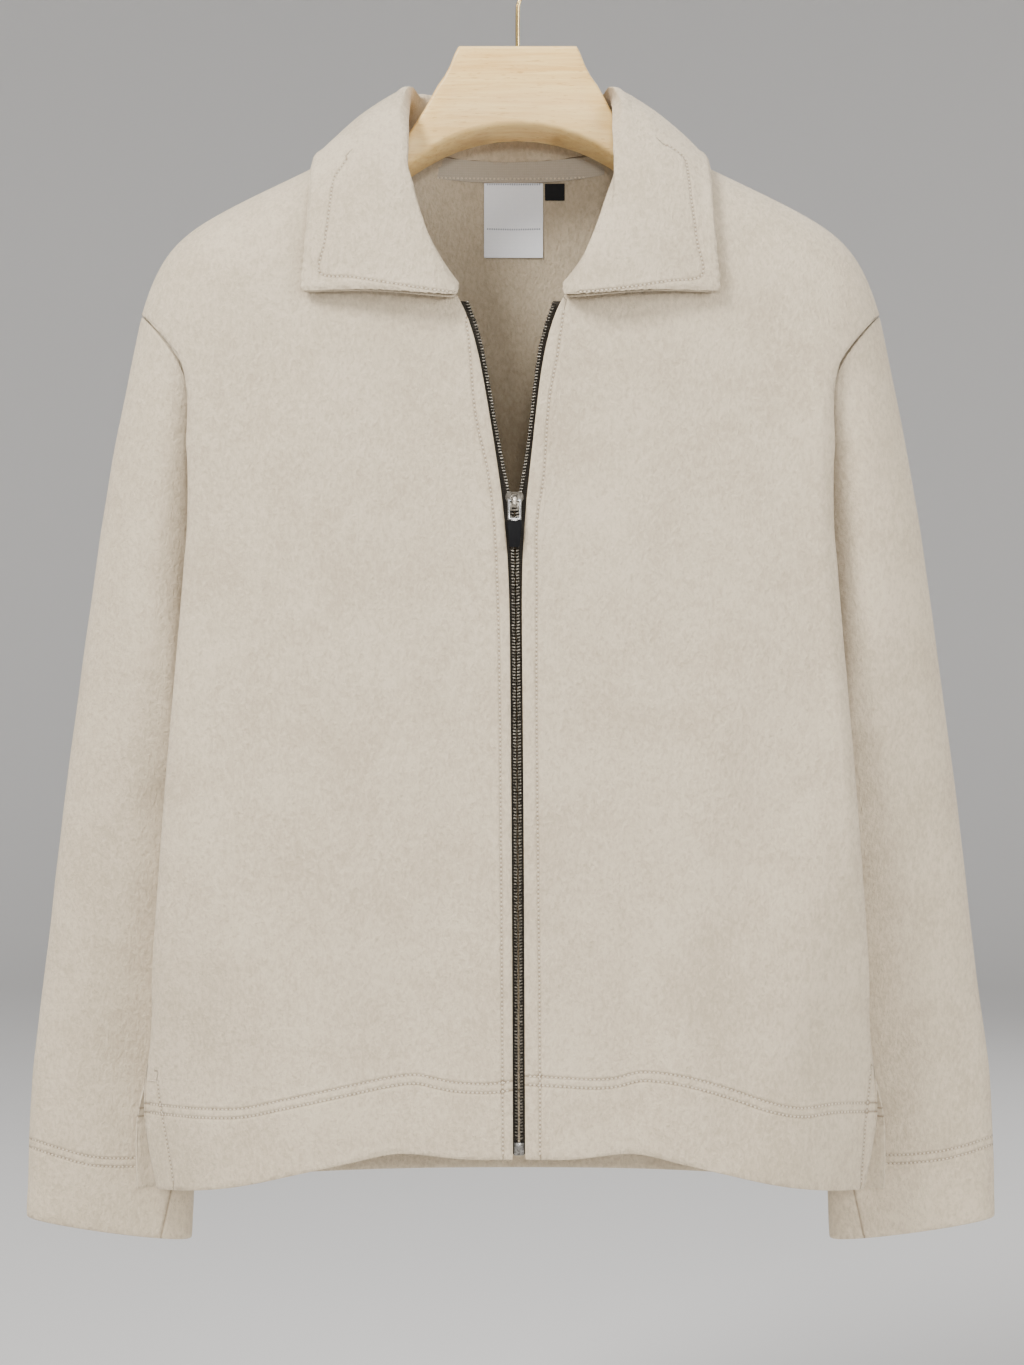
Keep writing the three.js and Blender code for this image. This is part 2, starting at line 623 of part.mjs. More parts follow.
const sliderX = zipLine.x(sliderTop + sliderLength / 2);
const sliderY = zipY(sliderTop + sliderLength / 2);
const plateThickness = 1.2;
const frontPlateY = sliderY + foldedThickness / 2 + 0.15 - teethDepth - 0.3 - plateThickness;
const backPlateY = sliderY + foldedThickness / 2 + 0.45 + tapeThickness + 0.3;
const bridge = { width: 3.9, length: 10, height: 4.2, top: sliderTop + 1, eyeDown: 4.4, eyeOut: 2.05 };
const hingeY = frontPlateY - bridge.eyeOut;
const hingeDrop = bridge.top + bridge.eyeDown;

// An outline in X and Z, pushed back from y = front by the depth.
function plate(shape, front, depth) {
  const geometry = new THREE.ExtrudeGeometry(shape, { depth, bevelEnabled: false, curveSegments: 6 });
  geometry.rotateX(Math.PI / 2);
  geometry.translate(0, front + depth, 0);
  return geometry;
}
function sliderShape() {
  const [wide, narrow, top] = [sliderWidth / 2, 4.1, -sliderTop];
  const shape = new THREE.Shape();
  shape.moveTo(sliderX - narrow, top - sliderLength);
  shape.lineTo(sliderX + narrow, top - sliderLength);
  shape.quadraticCurveTo(sliderX + narrow, top - 6.5, sliderX + wide, top - 4.5);
  shape.quadraticCurveTo(sliderX + wide + 0.2, top, sliderX + 3, top);
  shape.lineTo(sliderX - 3, top);
  shape.quadraticCurveTo(sliderX - wide - 0.2, top, sliderX - wide, top - 4.5);
  shape.quadraticCurveTo(sliderX - narrow, top - 6.5, sliderX - narrow, top - sliderLength);
  return shape;
}
function zipSlider() {
  const post = new THREE.Shape();
  post.moveTo(sliderX - 1.9, -sliderTop);
  post.lineTo(sliderX, -sliderTop - 5.5);
  post.lineTo(sliderX + 1.9, -sliderTop);
  const side = new THREE.Shape();
  side.moveTo(0, -0.6);
  side.absarc(3, bridge.height - 3, 3, Math.PI, Math.PI / 2, true);
  side.absarc(bridge.length - 3, bridge.height - 3, 3, Math.PI / 2, 0, true);
  side.lineTo(bridge.length, -0.6);
  const eye = new THREE.Path();
  eye.absellipse(bridge.eyeDown, bridge.eyeOut, 2.9, 1.25, 0, 2 * Math.PI, false);
  side.holes.push(eye);
  const swept = { depth: bridge.width, bevelEnabled: false, curveSegments: 6 };
  const arch = new THREE.ExtrudeGeometry(side, swept);
  arch.applyMatrix4(new THREE.Matrix4().makeBasis(point(0, 0, -1), point(0, -1, 0), point(-1, 0, 0)));
  arch.translate(sliderX + bridge.width / 2, frontPlateY, -bridge.top);
  const parts = [
    plate(sliderShape(), frontPlateY, plateThickness),
    plate(sliderShape(), backPlateY, plateThickness),
    plate(post, frontPlateY + 0.2, backPlateY - frontPlateY + 0.4),
    arch,
  ];
  return geometryOf(parts.map(solid).reduce((whole, part) => whole.add(part)));
}

// The pull: a wire frame through the bridge, with a tongue in the rubber grip
const linkWidth = 8.8;
const linkBar = 1.6;
const linkThickness = 1.4;
const linkLength = 13.4;
const gripTop = hingeDrop + linkLength - linkBar / 2 + 0.3;
const gripLength = 16.5;
const gripThickness = 3;
const tongue = { width: 4.6, length: 8 };
function rectangle(path, left, right, top, bottom) {
  path.moveTo(left, -bottom);
  path.lineTo(right, -bottom);
  path.lineTo(right, -top);
  path.lineTo(left, -top);
  path.lineTo(left, -bottom);
  return path;
}
function pullLink() {
  const top = hingeDrop - linkBar / 2;
  const bottom = top + linkLength;
  const [left, right] = [sliderX - linkWidth / 2, sliderX + linkWidth / 2];
  const frame = rectangle(new THREE.Shape(), left, right, top, bottom);
  const [innerLeft, innerRight] = [left + linkBar, right - linkBar];
  const inside = rectangle(new THREE.Path(), innerLeft, innerRight, top + linkBar, bottom - linkBar);
  frame.holes.push(inside);
  const half = tongue.width / 2;
  const [tabLeft, tabRight] = [sliderX - half, sliderX + half];
  const tab = rectangle(new THREE.Shape(), tabLeft, tabRight, bottom - 0.5, bottom + tongue.length);
  const front = hingeY - linkThickness / 2;
  const parts = [plate(frame, front, linkThickness), plate(tab, front, linkThickness)];
  return geometryOf(solid(parts[0]).add(solid(parts[1])));
}
function pullGrip() {
  const [wide, narrow, corner] = [4.6, 3.3, 1.4];
  const bottom = gripTop + gripLength;
  const shape = new THREE.Shape();
  shape.moveTo(sliderX - wide + corner, -gripTop);
  shape.quadraticCurveTo(sliderX - wide, -gripTop, sliderX - wide, -gripTop - corner);
  shape.lineTo(sliderX - narrow, -bottom + corner);
  shape.quadraticCurveTo(sliderX - narrow, -bottom, sliderX - narrow + corner, -bottom);
  shape.lineTo(sliderX + narrow - corner, -bottom);
  shape.quadraticCurveTo(sliderX + narrow, -bottom, sliderX + narrow, -bottom + corner);
  shape.lineTo(sliderX + wide, -gripTop - corner);
  shape.quadraticCurveTo(sliderX + wide, -gripTop, sliderX + wide - corner, -gripTop);
  const half = tongue.width / 2 + 0.3;
  const slotEnd = gripTop + tongue.length + 0.1;
  const slot = rectangle(new THREE.Shape(), sliderX - half, sliderX + half, gripTop - 1, slotEnd);
  const whole = solid(plate(shape, hingeY - gripThickness / 2, gripThickness));
  const cut = plate(slot, hingeY - linkThickness / 2 - 0.3, linkThickness + 0.6);
  return geometryOf(whole.subtract(solid(cut)));
}
function bottomStop() {
  const drop = stopTop;
  const centre = zipLine.x(drop);
  const shape = rectangle(new THREE.Shape(), centre - 3.3, centre + 3.3, drop, drop + 8);
  return plate(shape, zipY(drop) - 1.2, 2.7);
}

// The hanger: a contoured wooden body, lofted from end to end, and a brass hook
const hangerRows = curveTable("x top bottom thick", [
  [0, 85, 136.4, 15], [13, 85, 137.2, 15], [26, 85, 139.6, 15], [38, 85, 143.2, 15],
  [40.4, 89.5, 144.1, 15], [43.5, 97.4, 145.6, 14.8],
  [47, 103.9, 147, 14.6], [51.7, 110.4, 149.5, 14.3], [60, 125, 154.5, 12.6], [66, 135.2, 159, 11.4],
  [70, 140.6, 162, 11.2], [75.5, 146.2, 167, 11.6],
  [84, 151, 173, 12.2], [99, 155, 181, 12.6], [125, 165.8, 195, 12.8], [151, 178.4, 207, 12.6],
  [178, 191.8, 219, 12], [200, 206, 229, 10], [211, 216, 235, 8], [217, 224, 236, 5],
]);
const hangerMiddle = -2;
const blockTilt = 4.5; // the block's back edge lies lower than its front edge
function hangerSection(x) {
  const [size, side] = [Math.abs(x), Math.sign(x)];
  const { top, bottom, thick } = hangerRows;
  const [t, b, w] = [top(size), bottom(size), thick(size)];
  const shift = hangerMiddle * smooth(size, 60, 90);
  const tilt = blockTilt * (1 - smooth(size, 60, 120));
  const round = Math.min(4 + 6 * smooth(size, 70, 120), (b - t) / 2.2, w * 0.8);
  const corners = [[-1, t, 1], [1, t, 1], [1, b + tilt, -1], [-1, b, -1]];
  return corners.flatMap(([face, drop, inward]) => [0.12, 0.5, 0.88].map((k) => {
    const angle = (Math.PI / 2) * (face * inward < 0 ? 1 - k : k);
    const [cx, cz] = [1 - Math.cos(angle), 1 - Math.sin(angle)];
    return point(side * size + shift, face * (w - round * cz), -(drop + inward * round * cx));
  }));
}
const hookWire = 1.4;
const hookBore = { depth: 14, radius: hookWire + 0.3 };
function hangerBody() {
  const sizes = [217, 211, 200, 178, 151, 125, 99, 84, 75.5, 70, 60, 51.7, 47, 43.5, 40.4, 38, 26, 13];
  const stations = [...sizes.map((size) => -size), 0.001, ...[...sizes].reverse()];
  const wood = solid(loft(stations.map(hangerSection)));
  const bore = new THREE.CylinderGeometry(hookBore.radius, hookBore.radius, hookBore.depth + 1, 16);
  bore.rotateX(Math.PI / 2);
  bore.translate(0, 0, -85 - hookBore.depth / 2 + 0.5);
  return geometryOf(wood.subtract(solid(bore)));
}
function hangerHook() {
  const radius = 20 + hookWire;
  const arc = range(-50, 205, 13).map((degrees) => {
    const angle = THREE.MathUtils.degToRad(degrees);
    return point(radius * Math.cos(angle), 0, radius * Math.sin(angle) - 20);
  });
  const stem = [[0, -98.5], [0, -80], [0, -64], [0.6, -54], [5.5, -45.5]].map(([x, z]) => point(x, 0, z));
  const path = new THREE.CatmullRomCurve3([...stem, ...arc], false, "centripetal");
  const wire = new THREE.Shape().absarc(0, 0, hookWire, 0, 2 * Math.PI);
  const swept = { steps: 34, extrudePath: path, curveSegments: 5, bevelEnabled: false };
  return new THREE.ExtrudeGeometry(wire, swept);
}

// Each node: its name, its shape and its finish
const suede = { color: 0xcfc6b8, roughness: 0.95, metalness: 0 };
const zipTapeFinish = { color: 0x3b3830, roughness: 0.9, metalness: 0 };
const antiqueBrass = { color: 0x6f634c, roughness: 0.4, metalness: 0.9 };
const zipMetal = { color: 0x8a8576, roughness: 0.35, metalness: 0.9 };
const sides = [["right", -1], ["left", 1]]; // the wearer's right is on the viewer's left

const jacket = new THREE.Group();
function add(name, geometry, finish) {
  const mesh = new THREE.Mesh(geometry, new THREE.MeshStandardMaterial(finish));
  mesh.name = name;
  jacket.add(mesh);
}
for (const [name, side] of sides) {
  const thickness = (i, j) => frontThickness(i, j);
  add(`front_${name}`, clothWall(frontRows(side), (i, j) => -thickness(i, j), thickness), suede);
  const sleeve = clothWall(sleeveRows(side), (i) => -sleeveThickness(i), sleeveThickness, true);
  add(`sleeve_${name}`, sleeve, suede);
  add(`zip_tape_${name}`, zipTape(side), zipTapeFinish);
  add(`zip_chain_${name}`, zipChain(side), antiqueBrass);
}
add("back", clothWall(backRows(), (i) => -backThickness(i), backThickness), suede);
// The layers part a little where the collar folds over.
const layerNear = (i, j) => (j < 8 ? 1.2 : 0.3);
const layerFar = (i, j) => (j > 1 && j < 8 ? 2.2 : 1.9);
add("collar_upper", clothWall(collarRows(), (i, j) => -layerFar(i, j), (i, j) => -layerNear(i, j)), suede);
add("collar_under", clothWall(collarRows(), layerNear, layerFar), suede);
add("neck_tape", clothWall(neckTapeRows(), () => -0.4, () => 0.4), { ...suede, color: 0xb3a796 });
add("label_main", flatLabel(-22.3, 17.1, 162.6, 212, clothThickness / 2 + 0.9, 0.6), {
  color: 0xe9e7e2, roughness: 0.8, metalness: 0,
});
add("label_size", flatLabel(18.4, 31.6, 163, 174, clothThickness / 2 + 0.9, 0.6), {
  color: 0x141414, roughness: 0.5, metalness: 0,
});
add("zip_slider", zipSlider(), zipMetal);
add("zip_bottom_stop", bottomStop(), zipMetal);
add("zip_pull_link", pullLink(), zipMetal);
add("zip_pull_grip", pullGrip(), { color: 0x17181a, roughness: 0.6, metalness: 0 });
add("hanger_body", hangerBody(), { color: 0xd9bd92, roughness: 0.45, metalness: 0 });
add("hanger_hook", hangerHook(), { color: 0xb89a55, roughness: 0.3, metalness: 1 });

export default jacket;
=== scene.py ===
import math

import bmesh
import bpy
import numpy as np
from mathutils import Matrix, Vector, noise
from mathutils.bvhtree import BVHTree
from mathutils.kdtree import KDTree


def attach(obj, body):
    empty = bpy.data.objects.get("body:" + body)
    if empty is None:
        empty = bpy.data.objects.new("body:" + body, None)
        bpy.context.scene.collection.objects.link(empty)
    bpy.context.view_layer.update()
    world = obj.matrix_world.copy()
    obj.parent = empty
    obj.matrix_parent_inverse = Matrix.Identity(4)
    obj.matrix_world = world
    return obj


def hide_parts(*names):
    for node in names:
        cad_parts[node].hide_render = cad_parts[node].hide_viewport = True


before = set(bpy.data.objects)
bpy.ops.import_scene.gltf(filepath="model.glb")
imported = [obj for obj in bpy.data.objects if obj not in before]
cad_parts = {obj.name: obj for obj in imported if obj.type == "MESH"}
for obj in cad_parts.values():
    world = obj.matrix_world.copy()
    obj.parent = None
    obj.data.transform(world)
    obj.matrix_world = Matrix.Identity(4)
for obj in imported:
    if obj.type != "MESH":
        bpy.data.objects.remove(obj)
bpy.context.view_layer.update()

mm = 0.001
middleX = -4.5 * mm  # the jacket hangs a little to one side of the hook
noRow = 60.0  # mm, stored where no stitch row is near
sharpAngle = 55  # degrees; above this an edge of a cloth solid is one of its rims

# The camera stands level in front of the jacket, as the photo was taken
view = {
    "place": (-0.0036, -1.5, -0.4955), "lens": 60.86, "film": 36, "near": 0.05, "far": 50,
    "pixel": 0.00065, "acrossPixel": 512, "downPixel": 682.5,
}
camera = bpy.data.objects.new("camera", bpy.data.cameras.new("camera"))
bpy.context.scene.collection.objects.link(camera)
camera.location = view["place"]
camera.rotation_euler = (math.pi / 2, 0, 0)
camera.data.sensor_fit = "VERTICAL"
camera.data.sensor_height = view["film"]
camera.data.lens = view["lens"]
camera.data.clip_start = view["near"]
camera.data.clip_end = view["far"]
bpy.context.scene.camera = camera
print("camera placed")


# Small helpers for node materials
def newFinish(name):
    finish = bpy.data.materials.new(name)
    finish.use_nodes = True
    nodes = finish.node_tree.nodes
    return finish, nodes, finish.node_tree.links, nodes["Principled BSDF"]


def place(nodes, name="place"):
    spot = nodes.new("ShaderNodeAttribute")
    spot.attribute_name = name
    return spot


def stretch(nodes, links, vector, scale, turn=(0, 0, 0)):
    mapping = nodes.new("ShaderNodeMapping")
    mapping.inputs["Scale"].default_value = scale
    mapping.inputs["Rotation"].default_value = turn
    links.new(vector, mapping.inputs["Vector"])
    return mapping.outputs["Vector"]


def speckle(nodes, links, vector, scale, detail=2.0, rough=0.5, bend=0.0):
    grain = nodes.new("ShaderNodeTexNoise")
    grain.inputs["Scale"].default_value = scale
    grain.inputs["Detail"].default_value = detail
    grain.inputs["Roughness"].default_value = rough
    grain.inputs["Distortion"].default_value = bend
    links.new(vector, grain.inputs["Vector"])
    return grain.outputs["Fac"]


def sums(nodes, links, kind, first, second):
    step = nodes.new("ShaderNodeMath")
    step.operation = kind
    for socket, value in zip(step.inputs, (first, second)):
        if isinstance(value, (int, float)):
            socket.default_value = value
        else:
            links.new(value, socket)
    return step.outputs["Value"]


def weighted(nodes, links, *parts):
    total = None
    for value, share in parts:
        term = sums(nodes, links, "MULTIPLY", value, share)
        total = term if total is None else sums(nodes, links, "ADD", total, term)
    return total


def ramp(nodes, links, value, stops):
    band = nodes.new("ShaderNodeValToRGB")
    while len(band.color_ramp.elements) < len(stops):
        band.color_ramp.elements.new(0.5)
    for element, (where, colour) in zip(band.color_ramp.elements, stops):
        element.position = where
        element.color = (*colour, 1)
    links.new(value, band.inputs["Fac"])
    return band.outputs["Color"]


def blendColours(nodes, links, kind, share, first, second):
    mix = nodes.new("ShaderNodeMix")
    mix.data_type = "RGBA"
    mix.blend_type = kind
    for socket, value in ((mix.inputs[0], share), (mix.inputs[6], first), (mix.inputs[7], second)):
        if isinstance(value, (int, float)):
            socket.default_value = value
        elif isinstance(value, tuple):
            socket.default_value = (*value, 1)
        else:
            links.new(value, socket)
    return mix.outputs[2]


def groove(nodes, links, distance, width):
    squared = sums(nodes, links, "MULTIPLY", distance, distance)
    scaled = sums(nodes, links, "MULTIPLY", squared, -1.0 / (width * width))
    return sums(nodes, links, "EXPONENT", scaled, 0.0)


def bumpFrom(nodes, links, height, shader, strength=1.0, distance=mm):
    bump = nodes.new("ShaderNodeBump")
    bump.inputs["Strength"].default_value = strength
    bump.inputs["Distance"].default_value = distance
    links.new(height, bump.inputs["Height"])
    links.new(bump.outputs["Normal"], shader.inputs["Normal"])


# Brushed faux suede: fine nap, slow mottling, soft rounded edges and sunk stitch rows; painted shade darkens
# the stitch slits, the inner faces near the neck and, in the cloth's finish, the crevices between layers
suedeLook = {
    "light": (0.745, 0.628, 0.460), "dark": (0.600, 0.497, 0.354), "inside": (0.42, 0.39, 0.345),
    "slitShade": (0.36, 0.31, 0.26), "slitShadeDepth": 0.72, "hollowShade": (0.44, 0.40, 0.36), "creviceShade": 0.016,
    "mottleScale": 22, "mottleShare": 0.35, "brushScale": 210, "brushShare": 0.3, "brushHeight": 0.42,
    "napScale": 430, "napShare": 0.65, "napHeight": 1.7, "puckerScale": 170, "puckerHeight": 0.7,
    "rowWidth": 1.15, "rowReach": 9.0, "rowHeight": 0.8, "pairHalf": 2.8, "pairReach": 12.0,
    "nearRow": 4.5, "nearPair": 6.5, "edgeRound": 1.7, "edgeHeight": 0.9,
    "rough": 0.93, "specular": 0.18, "sheen": 0.22, "sheenRough": 0.45, "sheenTint": (1.0, 0.95, 0.88),
}


# Stitch rows lie in shallow slits: single rows on their line, pairs on both sides of theirs
def stitchDips(nodes, links):
    look = suedeLook
    rowNear = sums(nodes, links, "LESS_THAN", place(nodes, "rowNear").outputs["Fac"], look["rowReach"])
    pairNear = sums(nodes, links, "LESS_THAN", place(nodes, "pairNear").outputs["Fac"], look["pairReach"])
    rowDip = groove(nodes, links, place(nodes, "row").outputs["Fac"], look["rowWidth"])
    rowDip = sums(nodes, links, "MULTIPLY", rowDip, rowNear)
    pair = place(nodes, "pair").outputs["Fac"]
    upperDip = groove(nodes, links, sums(nodes, links, "SUBTRACT", pair, look["pairHalf"]), look["rowWidth"])
    lowerDip = groove(nodes, links, sums(nodes, links, "ADD", pair, look["pairHalf"]), look["rowWidth"])
    pairDips = sums(nodes, links, "MULTIPLY", sums(nodes, links, "ADD", upperDip, lowerDip), pairNear)
    return sums(nodes, links, "ADD", rowDip, pairDips)


def makeSuede(name, shadedCreases):
    look = suedeLook
    finish, nodes, links, shader = newFinish(name)
    spot = place(nodes).outputs["Vector"]
    mottle = speckle(nodes, links, spot, look["mottleScale"], 3, 0.55, 0.4)
    brushed = speckle(nodes, links, stretch(nodes, links, spot, (1, 1, 0.8)), look["brushScale"], 3, 0.6, 0.6)
    nap = speckle(nodes, links, stretch(nodes, links, spot, (1, 1, 0.6)), look["napScale"], 4, 0.7)
    shade = weighted(
        nodes, links, (mottle, look["mottleShare"]), (brushed, look["brushShare"]), (nap, look["napShare"])
    )
    colour = ramp(nodes, links, shade, [(0.54, look["dark"]), (0.74, look["light"])])
    dips = stitchDips(nodes, links)
    # Painted shade: the colour is darkened along the sunk stitch rows
    slitShadeMask = sums(nodes, links, "MINIMUM", sums(nodes, links, "POWER", dips, 3.0), 1.0)
    dark = sums(nodes, links, "MULTIPLY", slitShadeMask, look["slitShadeDepth"])
    colour = blendColours(nodes, links, "MULTIPLY", dark, colour, look["slitShade"])
    # Painted shade: inner faces near the neck are darkened in the colour through the stored inner mask
    inner = place(nodes, "inner").outputs["Fac"]
    colour = blendColours(nodes, links, "MULTIPLY", inner, colour, look["inside"])
    # Painted shade: an occlusion node darkens crevices and gaps between layers in the base colour
    if shadedCreases:
        creviceShade = nodes.new("ShaderNodeAmbientOcclusion")
        creviceShade.inputs["Distance"].default_value = look["creviceShade"]
        creviceShade.samples = 6
        shaded = ramp(nodes, links, creviceShade.outputs["AO"], [(0.12, look["hollowShade"]), (0.78, (1, 1, 1))])
        colour = blendColours(nodes, links, "MULTIPLY", 1.0, colour, shaded)
    links.new(colour, shader.inputs["Base Color"])
    # Small puckers stand along every stitch row
    nearRow = groove(nodes, links, place(nodes, "rowNear").outputs["Fac"], look["nearRow"])
    nearPair = groove(nodes, links, place(nodes, "pairNear").outputs["Fac"], look["nearPair"])
    pucker = speckle(nodes, links, spot, look["puckerScale"], 1, 0.5)
    puckers = sums(nodes, links, "MULTIPLY", sums(nodes, links, "MAXIMUM", nearRow, nearPair), pucker)
    edgeDip = groove(nodes, links, place(nodes, "edge").outputs["Fac"], look["edgeRound"])
    height = weighted(
        nodes, links, (nap, look["napHeight"]), (brushed, look["brushHeight"]),
        (puckers, look["puckerHeight"]), (dips, -look["rowHeight"]), (edgeDip, -look["edgeHeight"]),
    )
    bumpFrom(nodes, links, height, shader)
    shader.inputs["Roughness"].default_value = look["rough"]
    shader.inputs["Specular IOR Level"].default_value = look["specular"]
    shader.inputs["Sheen Weight"].default_value = look["sheen"]
    shader.inputs["Sheen Roughness"].default_value = look["sheenRough"]
    shader.inputs["Sheen Tint"].default_value = (*look["sheenTint"], 1)
    return finish


# The cloth's finish paints crevice shade into its colour; the seam rolls' finish does not
suede = makeSuede("faux_suede", True)
seamSuede = makeSuede("faux_suede_seam", False)


# Woven cloth: fine warp and weft threads with a little fluff
def makeWoven(name, colour, second, thread, rough=0.85, sheen=0.1):
    finish, nodes, links, shader = newFinish(name)
    spot = place(nodes).outputs["Vector"]
    warp = nodes.new("ShaderNodeTexWave")
    warp.bands_direction = "X"
    weft = nodes.new("ShaderNodeTexWave")
    weft.bands_direction = "Z"
    for wave, scale in ((warp, thread), (weft, thread * 0.8)):
        wave.inputs["Scale"].default_value = scale
        wave.inputs["Distortion"].default_value = 0.4
        wave.inputs["Detail"].default_value = 1
        links.new(spot, wave.inputs["Vector"])
    weave = sums(nodes, links, "MULTIPLY", warp.outputs["Fac"], weft.outputs["Fac"])
    fluff = speckle(nodes, links, spot, 400, 3, 0.6)
    shade = weighted(nodes, links, (weave, 0.5), (fluff, 0.6))
    links.new(ramp(nodes, links, shade, [(0.2, second), (0.75, colour)]), shader.inputs["Base Color"])
    bumpFrom(nodes, links, weave, shader, 0.6, 0.15 * mm)
    shader.inputs["Roughness"].default_value = rough
    shader.inputs["Specular IOR Level"].default_value = 0.2
    shader.inputs["Sheen Weight"].default_value = sheen
    return finish


neckTapeCloth = makeWoven("neck_tape_twill", (0.50, 0.435, 0.345), (0.43, 0.37, 0.29), 260)
labelSatin = makeWoven("label_white_satin", (0.97, 0.98, 1.0), (0.90, 0.92, 0.96), 420, 0.5, 0.25)
labelBlack = makeWoven("label_black_satin", (0.006, 0.006, 0.007), (0.002, 0.002, 0.002), 420, 0.6, 0.0)
zipTapeCloth = makeWoven("zip_tape_weave", (0.062, 0.053, 0.041), (0.028, 0.024, 0.019), 300)


# Metal with worn, duller patches
def makeMetal(name, bright, dull, rough, patch, scratch=0.03):
    finish, nodes, links, shader = newFinish(name)
    spot = place(nodes).outputs["Vector"]
    worn = speckle(nodes, links, spot, patch, 4, 0.65, 0.5)
    links.new(ramp(nodes, links, worn, [(0.38, dull), (0.66, bright)]), shader.inputs["Base Color"])
    spread = sums(nodes, links, "ADD", sums(nodes, links, "MULTIPLY", worn, -0.25), rough + 0.125)
    links.new(spread, shader.inputs["Roughness"])
    bumpFrom(nodes, links, worn, shader, 0.4, scratch * mm)
    shader.inputs["Metallic"].default_value = 1.0
    return finish


teethBrass = makeMetal("antique_brass_teeth", (0.27, 0.245, 0.200), (0.034, 0.030, 0.025), 0.40, 700)
stopMetal = makeMetal("dark_nickel", (0.34, 0.33, 0.31), (0.10, 0.095, 0.085), 0.3, 500)
sliderMetal = makeMetal("antique_nickel", (0.30, 0.275, 0.235), (0.13, 0.115, 0.09), 0.3, 420)
linkMetal = makeMetal("bright_nickel", (0.38, 0.38, 0.37), (0.17, 0.165, 0.155), 0.30, 420)
hookBrass = makeMetal("polished_brass_wire", (0.82, 0.62, 0.30), (0.60, 0.43, 0.18), 0.2, 160)


def makeRubber():
    finish, nodes, links, shader = newFinish("soft_rubber")
    spot = place(nodes).outputs["Vector"]
    grain = speckle(nodes, links, spot, 2600, 2, 0.6)
    links.new(ramp(nodes, links, grain, [(0.3, (0.003, 0.003, 0.0035)), (0.75, (0.008, 0.008, 0.009))]),
              shader.inputs["Base Color"])
    bumpFrom(nodes, links, grain, shader, 0.5, 0.06 * mm)
    shader.inputs["Roughness"].default_value = 0.6
    shader.inputs["Specular IOR Level"].default_value = 0.12
    return finish


rubber = makeRubber()


# Pale beech: long grain along the hanger, short dark flecks and slow bands
beechLook = {"light": (1.0, 0.700, 0.285), "mid": (0.84, 0.515, 0.170)}


def makeBeech():
    finish, nodes, links, shader = newFinish("pale_beech")
    spot = place(nodes).outputs["Vector"]
    bands = speckle(nodes, links, stretch(nodes, links, spot, (3.0, 22, 62)), 1.6, 4, 0.6, 1.2)
    fibres = speckle(nodes, links, stretch(nodes, links, spot, (26, 260, 520)), 1.0, 3, 0.6, 0.3)
    flecks = speckle(nodes, links, stretch(nodes, links, spot, (140, 700, 1300)), 1.0, 1, 0.5)
    shade = weighted(nodes, links, (bands, 0.55), (fibres, 0.45))
    colour = ramp(nodes, links, shade, [(0.36, beechLook["mid"]), (0.58, beechLook["light"])])
    marks = ramp(nodes, links, flecks, [(0.64, (1, 1, 1)), (0.74, (0.78, 0.68, 0.56))])
    links.new(blendColours(nodes, links, "MULTIPLY", 1.0, colour, marks), shader.inputs["Base Color"])
    bumpFrom(nodes, links, fibres, shader, 0.5, 0.05 * mm)
    rough = sums(nodes, links, "ADD", sums(nodes, links, "MULTIPLY", fibres, 0.18), 0.34)
    links.new(rough, shader.inputs["Roughness"])
    shader.inputs["Coat Weight"].default_value = 0.15
    shader.inputs["Coat Roughness"].default_value = 0.3
    return finish


beech = makeBeech()


def makeThread(name, colour, second):
    finish, nodes, links, shader = newFinish(name)
    spot = place(nodes).outputs["Vector"]
    twist = speckle(nodes, links, spot, 1500, 2, 0.6)
    links.new(ramp(nodes, links, twist, [(0.35, second), (0.7, colour)]), shader.inputs["Base Color"])
    bumpFrom(nodes, links, twist, shader, 0.6, 0.1 * mm)
    shader.inputs["Roughness"].default_value = 0.7
    shader.inputs["Sheen Weight"].default_value = 0.2
    return finish


creamThread = makeThread("cream_thread", (0.76, 0.66, 0.51), (0.62, 0.53, 0.40))
greyThread = makeThread("grey_thread", (0.52, 0.54, 0.60), (0.40, 0.42, 0.48))
print("finishes made")


# Meshes
def storeValues(mesh, name, values, kind="FLOAT"):
    layer = mesh.attributes.get(name) or mesh.attributes.new(name, kind, "POINT")
    flat = np.ascontiguousarray(values, dtype=np.float32).ravel()
    layer.data.foreach_set("value" if kind == "FLOAT" else "vector", flat)


def coordinates(mesh):
    spots = np.zeros(len(mesh.vertices) * 3, np.float32)
    mesh.vertices.foreach_get("co", spots)
    return spots.reshape(-1, 3).astype(float)


def storePlace(mesh):
    storeValues(mesh, "place", coordinates(mesh), "FLOAT_VECTOR")


def looseCopy(node, flatAngle=20):
    source = bmesh.new()
    source.from_mesh(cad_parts[node].data)
    bmesh.ops.remove_doubles(source, verts=source.verts, dist=0.01 * mm)
    bmesh.ops.join_triangles(
        source, faces=source.faces, angle_face_threshold=math.radians(flatAngle),
        angle_shape_threshold=math.radians(70),
    )
    for edge in source.edges:
        edge.smooth = True
    return source


def finishMesh(name, source, finish, body, nodes=(), smooth=True):
    mesh = bpy.data.meshes.new(name)
    source.to_mesh(mesh)
    source.free()
    for layer in ("custom_normal", "sharp_face", "sharp_edge"):
        if mesh.attributes.get(layer):
            mesh.attributes.remove(mesh.attributes[layer])
    mesh.materials.clear()
    mesh.materials.append(finish)
    mesh.polygons.foreach_set("use_smooth", [smooth] * len(mesh.polygons))
    storePlace(mesh)
    piece = bpy.data.objects.new(name, mesh)
    bpy.context.scene.collection.objects.link(piece)
    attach(piece, body)
    if nodes:
        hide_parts(*nodes)
    return piece


def sharpEdges(source, angle=sharpAngle):
    limit = math.radians(angle)
    return [edge for edge in source.edges if len(edge.link_faces) == 2 and edge.calc_face_angle(0) > limit]


